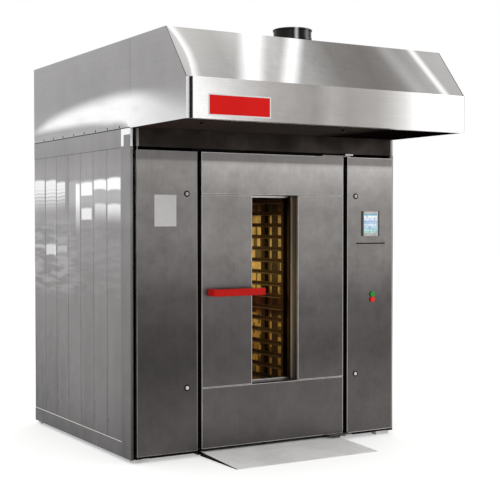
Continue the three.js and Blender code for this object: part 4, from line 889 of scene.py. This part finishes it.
# Hands have rubbed the enamel a little darker and duller in patches.
red_lever = plain_finish(
    "gloss_red_lever_enamel", ["a3100c", "d31a13"], (35.0, 5.0, 0.7), (0.3, 0.5),
    {"Specular IOR Level": 0.12},
)
bend, root, depth, level = 26, -490, -108, 1085
route = [at(root, y, level) for y in (-31, -60, depth + bend)]
for i in range(1, 6):
    angle = math.pi / 2 * i / 6
    across = root + bend * (1 - math.cos(angle))
    route.append(at(across, depth + bend - bend * math.sin(angle), level))
route += [at(x, depth, level) for x in (root + bend, -350, -200, -114)]
lever = bent_bar(route, rounded(0.022, 0.048, 0.007), Vector((0, 0, 1)))
lever = plain_mesh("lever_handle", lever, red_lever, "handle")
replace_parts(lever, "door_handle")
rose_profile = [(0, 0.0), (0.025, 0.0), (0.025, 0.003), (0.022, 0.006), (0, 0.006)]
rose = turned_piece(rose_profile, at(-478, -30.3, level), (0, -1, 0))
plain_mesh("handle_rose", rose, red_lever, "handle")
spindle_profile = [(0, 0.0), (0.006, 0.0), (0.006, 0.058), (0, 0.058)]
spindle = turned_piece(spindle_profile, at(-478, 28, level), (0, -1, 0), 16)
plain_mesh("handle_spindle", spindle, bright_fastener, "handle")

# ---- Locks ------------------------------------------------------------------------------
# Quarter-turn locks of satin zinc, with a cam behind the door. Each sits in a dark pressed cup
# that shades its head all round.

cup_profile = [
    (0.0128, 0.0), (0.021, 0.0), (0.021, 0.0014), (0.0195, 0.0024), (0.0145, 0.0024), (0.0128, 0.0006),
    (0.0128, 0.0),
]
for label, body, x in (("left", "service_door", -660), ("right", "control_door_body", 692)):
    for level, z in (("upper", 1733), ("lower", 467)):
        cup = turned_piece(cup_profile, at(x, -30.02, z), (0, -1, 0), 28)
        plain_mesh(f"{label}_lock_cup_{level}", cup, dark_fastener_and_shade, body)

# ---- Touch panel and buttons ---------------------------------------------------------
# An operator panel in a silvered bezel, with plain rows of light on its display and no words.
# Two round push buttons in blackened collars sit below it, green over red.

# Grey polycarbonate with a fine spark-eroded texture, which keeps it matt.
panel_grey = plain_finish(
    "moulded_polycarbonate_bezel", ["8d969c"], (500.0, 2.0), (0.4, 0.52), skin=(0.2, 0.0003),
)

# The display: a wash from green through pale blue to white under a blue bar, and eight rows of
# marks, 14 mm wide and 18 mm high.
lit_display, tree = material("backlit_display_glass")
place = add(tree, "ShaderNodeTexCoord").outputs["Object"]
_, _, z = add(tree, "ShaderNodeSeparateXYZ", {0: place}).outputs
height = add(tree, "ShaderNodeMapRange", (z, 1.4625, 1.6115))
wash = add(tree, "ShaderNodeValToRGB", {0: height}, [
    (0.0, "9fd8bd"), (0.12, "c4ead8"), (0.3, "b8dcf0"), (0.45, "e6f4fb"), (0.6, "b4cdf2"), (0.75, "f2fbff"),
    (0.88, "ffffff"), (0.93, "2fb6d6"), (1.0, "1796bd"),
])
rows = add(tree, "ShaderNodeMath", (height, 8.0), operation="MULTIPLY")
row = add(tree, "ShaderNodeMath", {0: rows}, operation="FRACT")
between_rows = gated(tree, 0.55, (row, 0.2, 0.12))
spread = add(tree, "ShaderNodeMapping", {"Vector": place, "Scale": (70.0, 1.0, 54.0)})
marks = add(tree, "ShaderNodeTexNoise", {"Vector": spread, "Scale": 1.0, "Detail": 1.0})
marks = gated(tree, 0.45, (marks, 0.5, 0.62))
dark = add(tree, "ShaderNodeMath", (between_rows, marks), operation="MAXIMUM")
colour = add(tree, "ShaderNodeMix", {0: dark, 6: wash, 7: linear("5f7fa8")}, data_type="RGBA")
glow = add(tree, "ShaderNodeBsdfPrincipled", {
    "Base Color": linear("1a2024"), "Roughness": 0.2, "Specular IOR Level": 0.2,
    "Emission Color": colour.outputs[2], "Emission Strength": 0.95,
})
add(tree, "ShaderNodeOutputMaterial", {0: glow})

# The bezel is painted with highlights along its inner edges and with shade towards its left and
# right sides.
bezel_tones = [
    (0.743, "3c3a3a"), (0.757, "4a4847"), (0.763, "a5a3a2"), (0.8, "b9b7b6"), (0.874, "a9a7a6"),
    (0.882, "c9c7c6"), (0.887, "5d5b5a"), (0.903, "434140"),
]
silver_bezel = sheet_steel("silvered_bezel", bezel_tones, "Z", fade="X", rough=0.3, patch=0.4, grain=0.5)
for name, mesh, finish in (
    ("panel_bezel", raised_rim(743, 903, -35.3, -30.3, 1448.5, 1627.5, 24, 3.5), silver_bezel),
    ("panel_display", flat_plate(765, 881, -33.4, -30.3, 1462, 1612, 2, 0.4), lit_display),
    ("panel_housing", flat_plate(753, 893, -29, 5.7, 1458.5, 1617.5, 4, 2), panel_grey),
):
    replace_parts(plain_mesh(name, mesh, finish, "control_door_body"), "touchscreen")

# Moulded caps are given a faint glow, painted light, though they are no lamps.
cap_profile = [
    (0, 0.0), (0.0098, 0.0), (0.0098, 0.025), (0.0188, 0.0252), (0.0188, 0.0285), (0.0162, 0.0312),
    (0.009, 0.0322), (0, 0.0323),
]
collar_profile = [
    (0.0108, 0.0), (0.0172, 0.0), (0.0172, 0.0005), (0.0167, 0.0009), (0.0113, 0.0009), (0.0108, 0.0005),
    (0.0108, 0.0),
]
for label, z, tones in (("green", 1033, ["117a1c", "1c9a2a"]), ("red", 994, ["e0140c", "f2241a"])):
    moulded_cap = plain_finish(
        f"{label}_moulded_abs", tones, (120.0, 2.0), (0.2, 0.35),
        {"Specular IOR Level": 0.2, "Emission Strength": 0.2},
    )
    dome = turned_piece(cap_profile, at(839, -10, z), (0, -1, 0), 28)
    cap = plain_mesh(f"{label}_button_cap", dome, moulded_cap, f"{label}_push")
    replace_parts(cap, f"{label}_button")
    collar = turned_piece(collar_profile, at(839, -30.02, z), (0, -1, 0), 28)
    plain_mesh(f"{label}_button_collar", collar, dark_fastener_and_shade, "control_door_body")

# ---- Chamber -------------------------------------------------------------------------
# Lining of stainless sheet, tinted straw and gold by years of heat, with a painted reflection of the
# rack on it; its tones go dark in a band from 0.85 to 0.97 m and from 1.63 m up. A tall lamp in
# the front left corner, behind frosted glass, lights the rack and the lining.


def rack_painted_reflection(tree, place):
    """A painted reflection of the rack in the polished lining: its posts as dark columns, which crowd towards
    the front.
    """
    x, y, z = add(tree, "ShaderNodeSeparateXYZ", {0: place}).outputs
    depth = add(tree, "ShaderNodeMath", (x, y), operation="ADD")
    lowest, pitch = 0.061, 0.0855
    tiers = add(tree, "ShaderNodeMapRange", (z, lowest, lowest + pitch), clamp=False)
    tier = add(tree, "ShaderNodeMath", {0: tiers}, operation="FLOOR")
    cell = add(tree, "ShaderNodeCombineXYZ", (depth, tier))
    cell = add(tree, "ShaderNodeMapping", {"Vector": cell, "Scale": (15.0, 0.83, 1.0)})
    loads = add(tree, "ShaderNodeTexNoise", {"Vector": cell, "Scale": 1.0, "Detail": 1.0})
    column = add(tree, "ShaderNodeCombineXYZ", {0: depth})
    posts = add(tree, "ShaderNodeTexNoise", {"Vector": column, "Scale": 12.0, "Detail": 1.0})
    to_front = add(tree, "ShaderNodeMath", (1.17, depth), operation="SUBTRACT")
    crowded = add(tree, "ShaderNodeMath", (to_front, 0.15, posts), operation="MULTIPLY_ADD")
    columns = gated(tree, 1.0, (crowded, 0.49, 0.52))
    loads = gated(tree, 0.85, (loads, 0.54, 0.58))
    dark = add(tree, "ShaderNodeMath", (columns, loads), operation="MAXIMUM")
    return add(tree, "ShaderNodeMath", (dark, 0.96), operation="MULTIPLY")


lining_tones = [
    (0.03, "8d6128"), (0.45, "e3c070"), (0.79, "f0d890"), (0.85, "6d3d1c"), (0.97, "3d2110"),
    (1.03, "ecd48e"), (1.3, "fbeab4"), (1.58, "f6e0a4"), (1.63, "6b4a24"), (1.7, "3a2410"), (1.9, "22140a"),
]
heat_tint_and_reflection = sheet_steel(
    "heat_tinted_lining_painted_reflection", lining_tones, "Z", fade="Z", rough=0.36, patch=2.6, metal=0.8,
    painted_reflection=rack_painted_reflection, image="0c0603",
)
dress(heat_tint_and_reflection, "left_duct_wall", "right_duct_wall", "chamber_rear_wall")
# The chamber floor takes the lining's painted shade.
dress(dark_lining, "chamber_floor")
lamp_glass = plain_finish(
    "frosted_lamp_glass", ["ffeccb", "fff5e0"], (60.0, 3.0), (0.5,), {"Emission Strength": 350.0},
)
dress(lamp_glass, "chamber_lamp")

# ---- Rack ------------------------------------------------------------------------------
# Welded stainless tube, painted near black as shade, with ledges painted a dark gold, light from the
# lining, and their outer posts painted near black. It hangs from a carrier on the drive shaft, over
# four heat-proof castors.

shaded_rack = sheet_steel(
    "stainless_rack_painted_shade", ["120d09", "241a10", "4a3820"], "Z", rough=0.4, patch=1.6, strip=4,
)
ledge_tones = [
    (-0.285, "120d09"), (-0.2555, "1d150c"), (-0.2545, "2e2212"), (-0.2, "5c4626"), (0.23, "5c4626"),
    (0.2865, "2e2212"), (0.2875, "1d150c"), (0.317, "120d09"),
]
ledges_light_and_shade = sheet_steel(
    "stainless_ladder_painted_light_and_shade", ledge_tones, "Y", fade="X", rough=0.34, patch=1.6, strip=4,
)
dress(shaded_rack, "rack_shaft", "rack_top_frame", "rack_base_frame")
dress(ledges_light_and_shade, "rack_ladder_left", "rack_ladder_right")
# Phenolic resin treads, scuffed grey in patches.
castor_tread = plain_finish("phenolic_castor_tread", ["191715", "3a3632"], (70.0, 4.0), (0.55,))
for end in ("front", "rear"):
    dress(castor_tread, f"castor_wheel_{end}_left", f"castor_wheel_{end}_right")

# ---- Machinery ---------------------------------------------------------------------------
# Cast and turned drive parts in grey machine enamel, a folded fan wheel of bare plate, and a
# heater bank of tubes in black stove enamel.

# The enamel lies thick over the casting's grain, which shows through it.
machine_enamel = plain_finish(
    "grey_machine_enamel", ["4a5158", "6c747b"], (80.0, 5.0, 0.6), (0.48,), skin=(0.3, 0.001),
)
dress(machine_enamel, "gearmotor", "fan_motor", "shaft_bearing", "electrical_panel")
dress(pale_plate_painted_light, "fan_impeller")
dress(stove_black, "heater_bank")
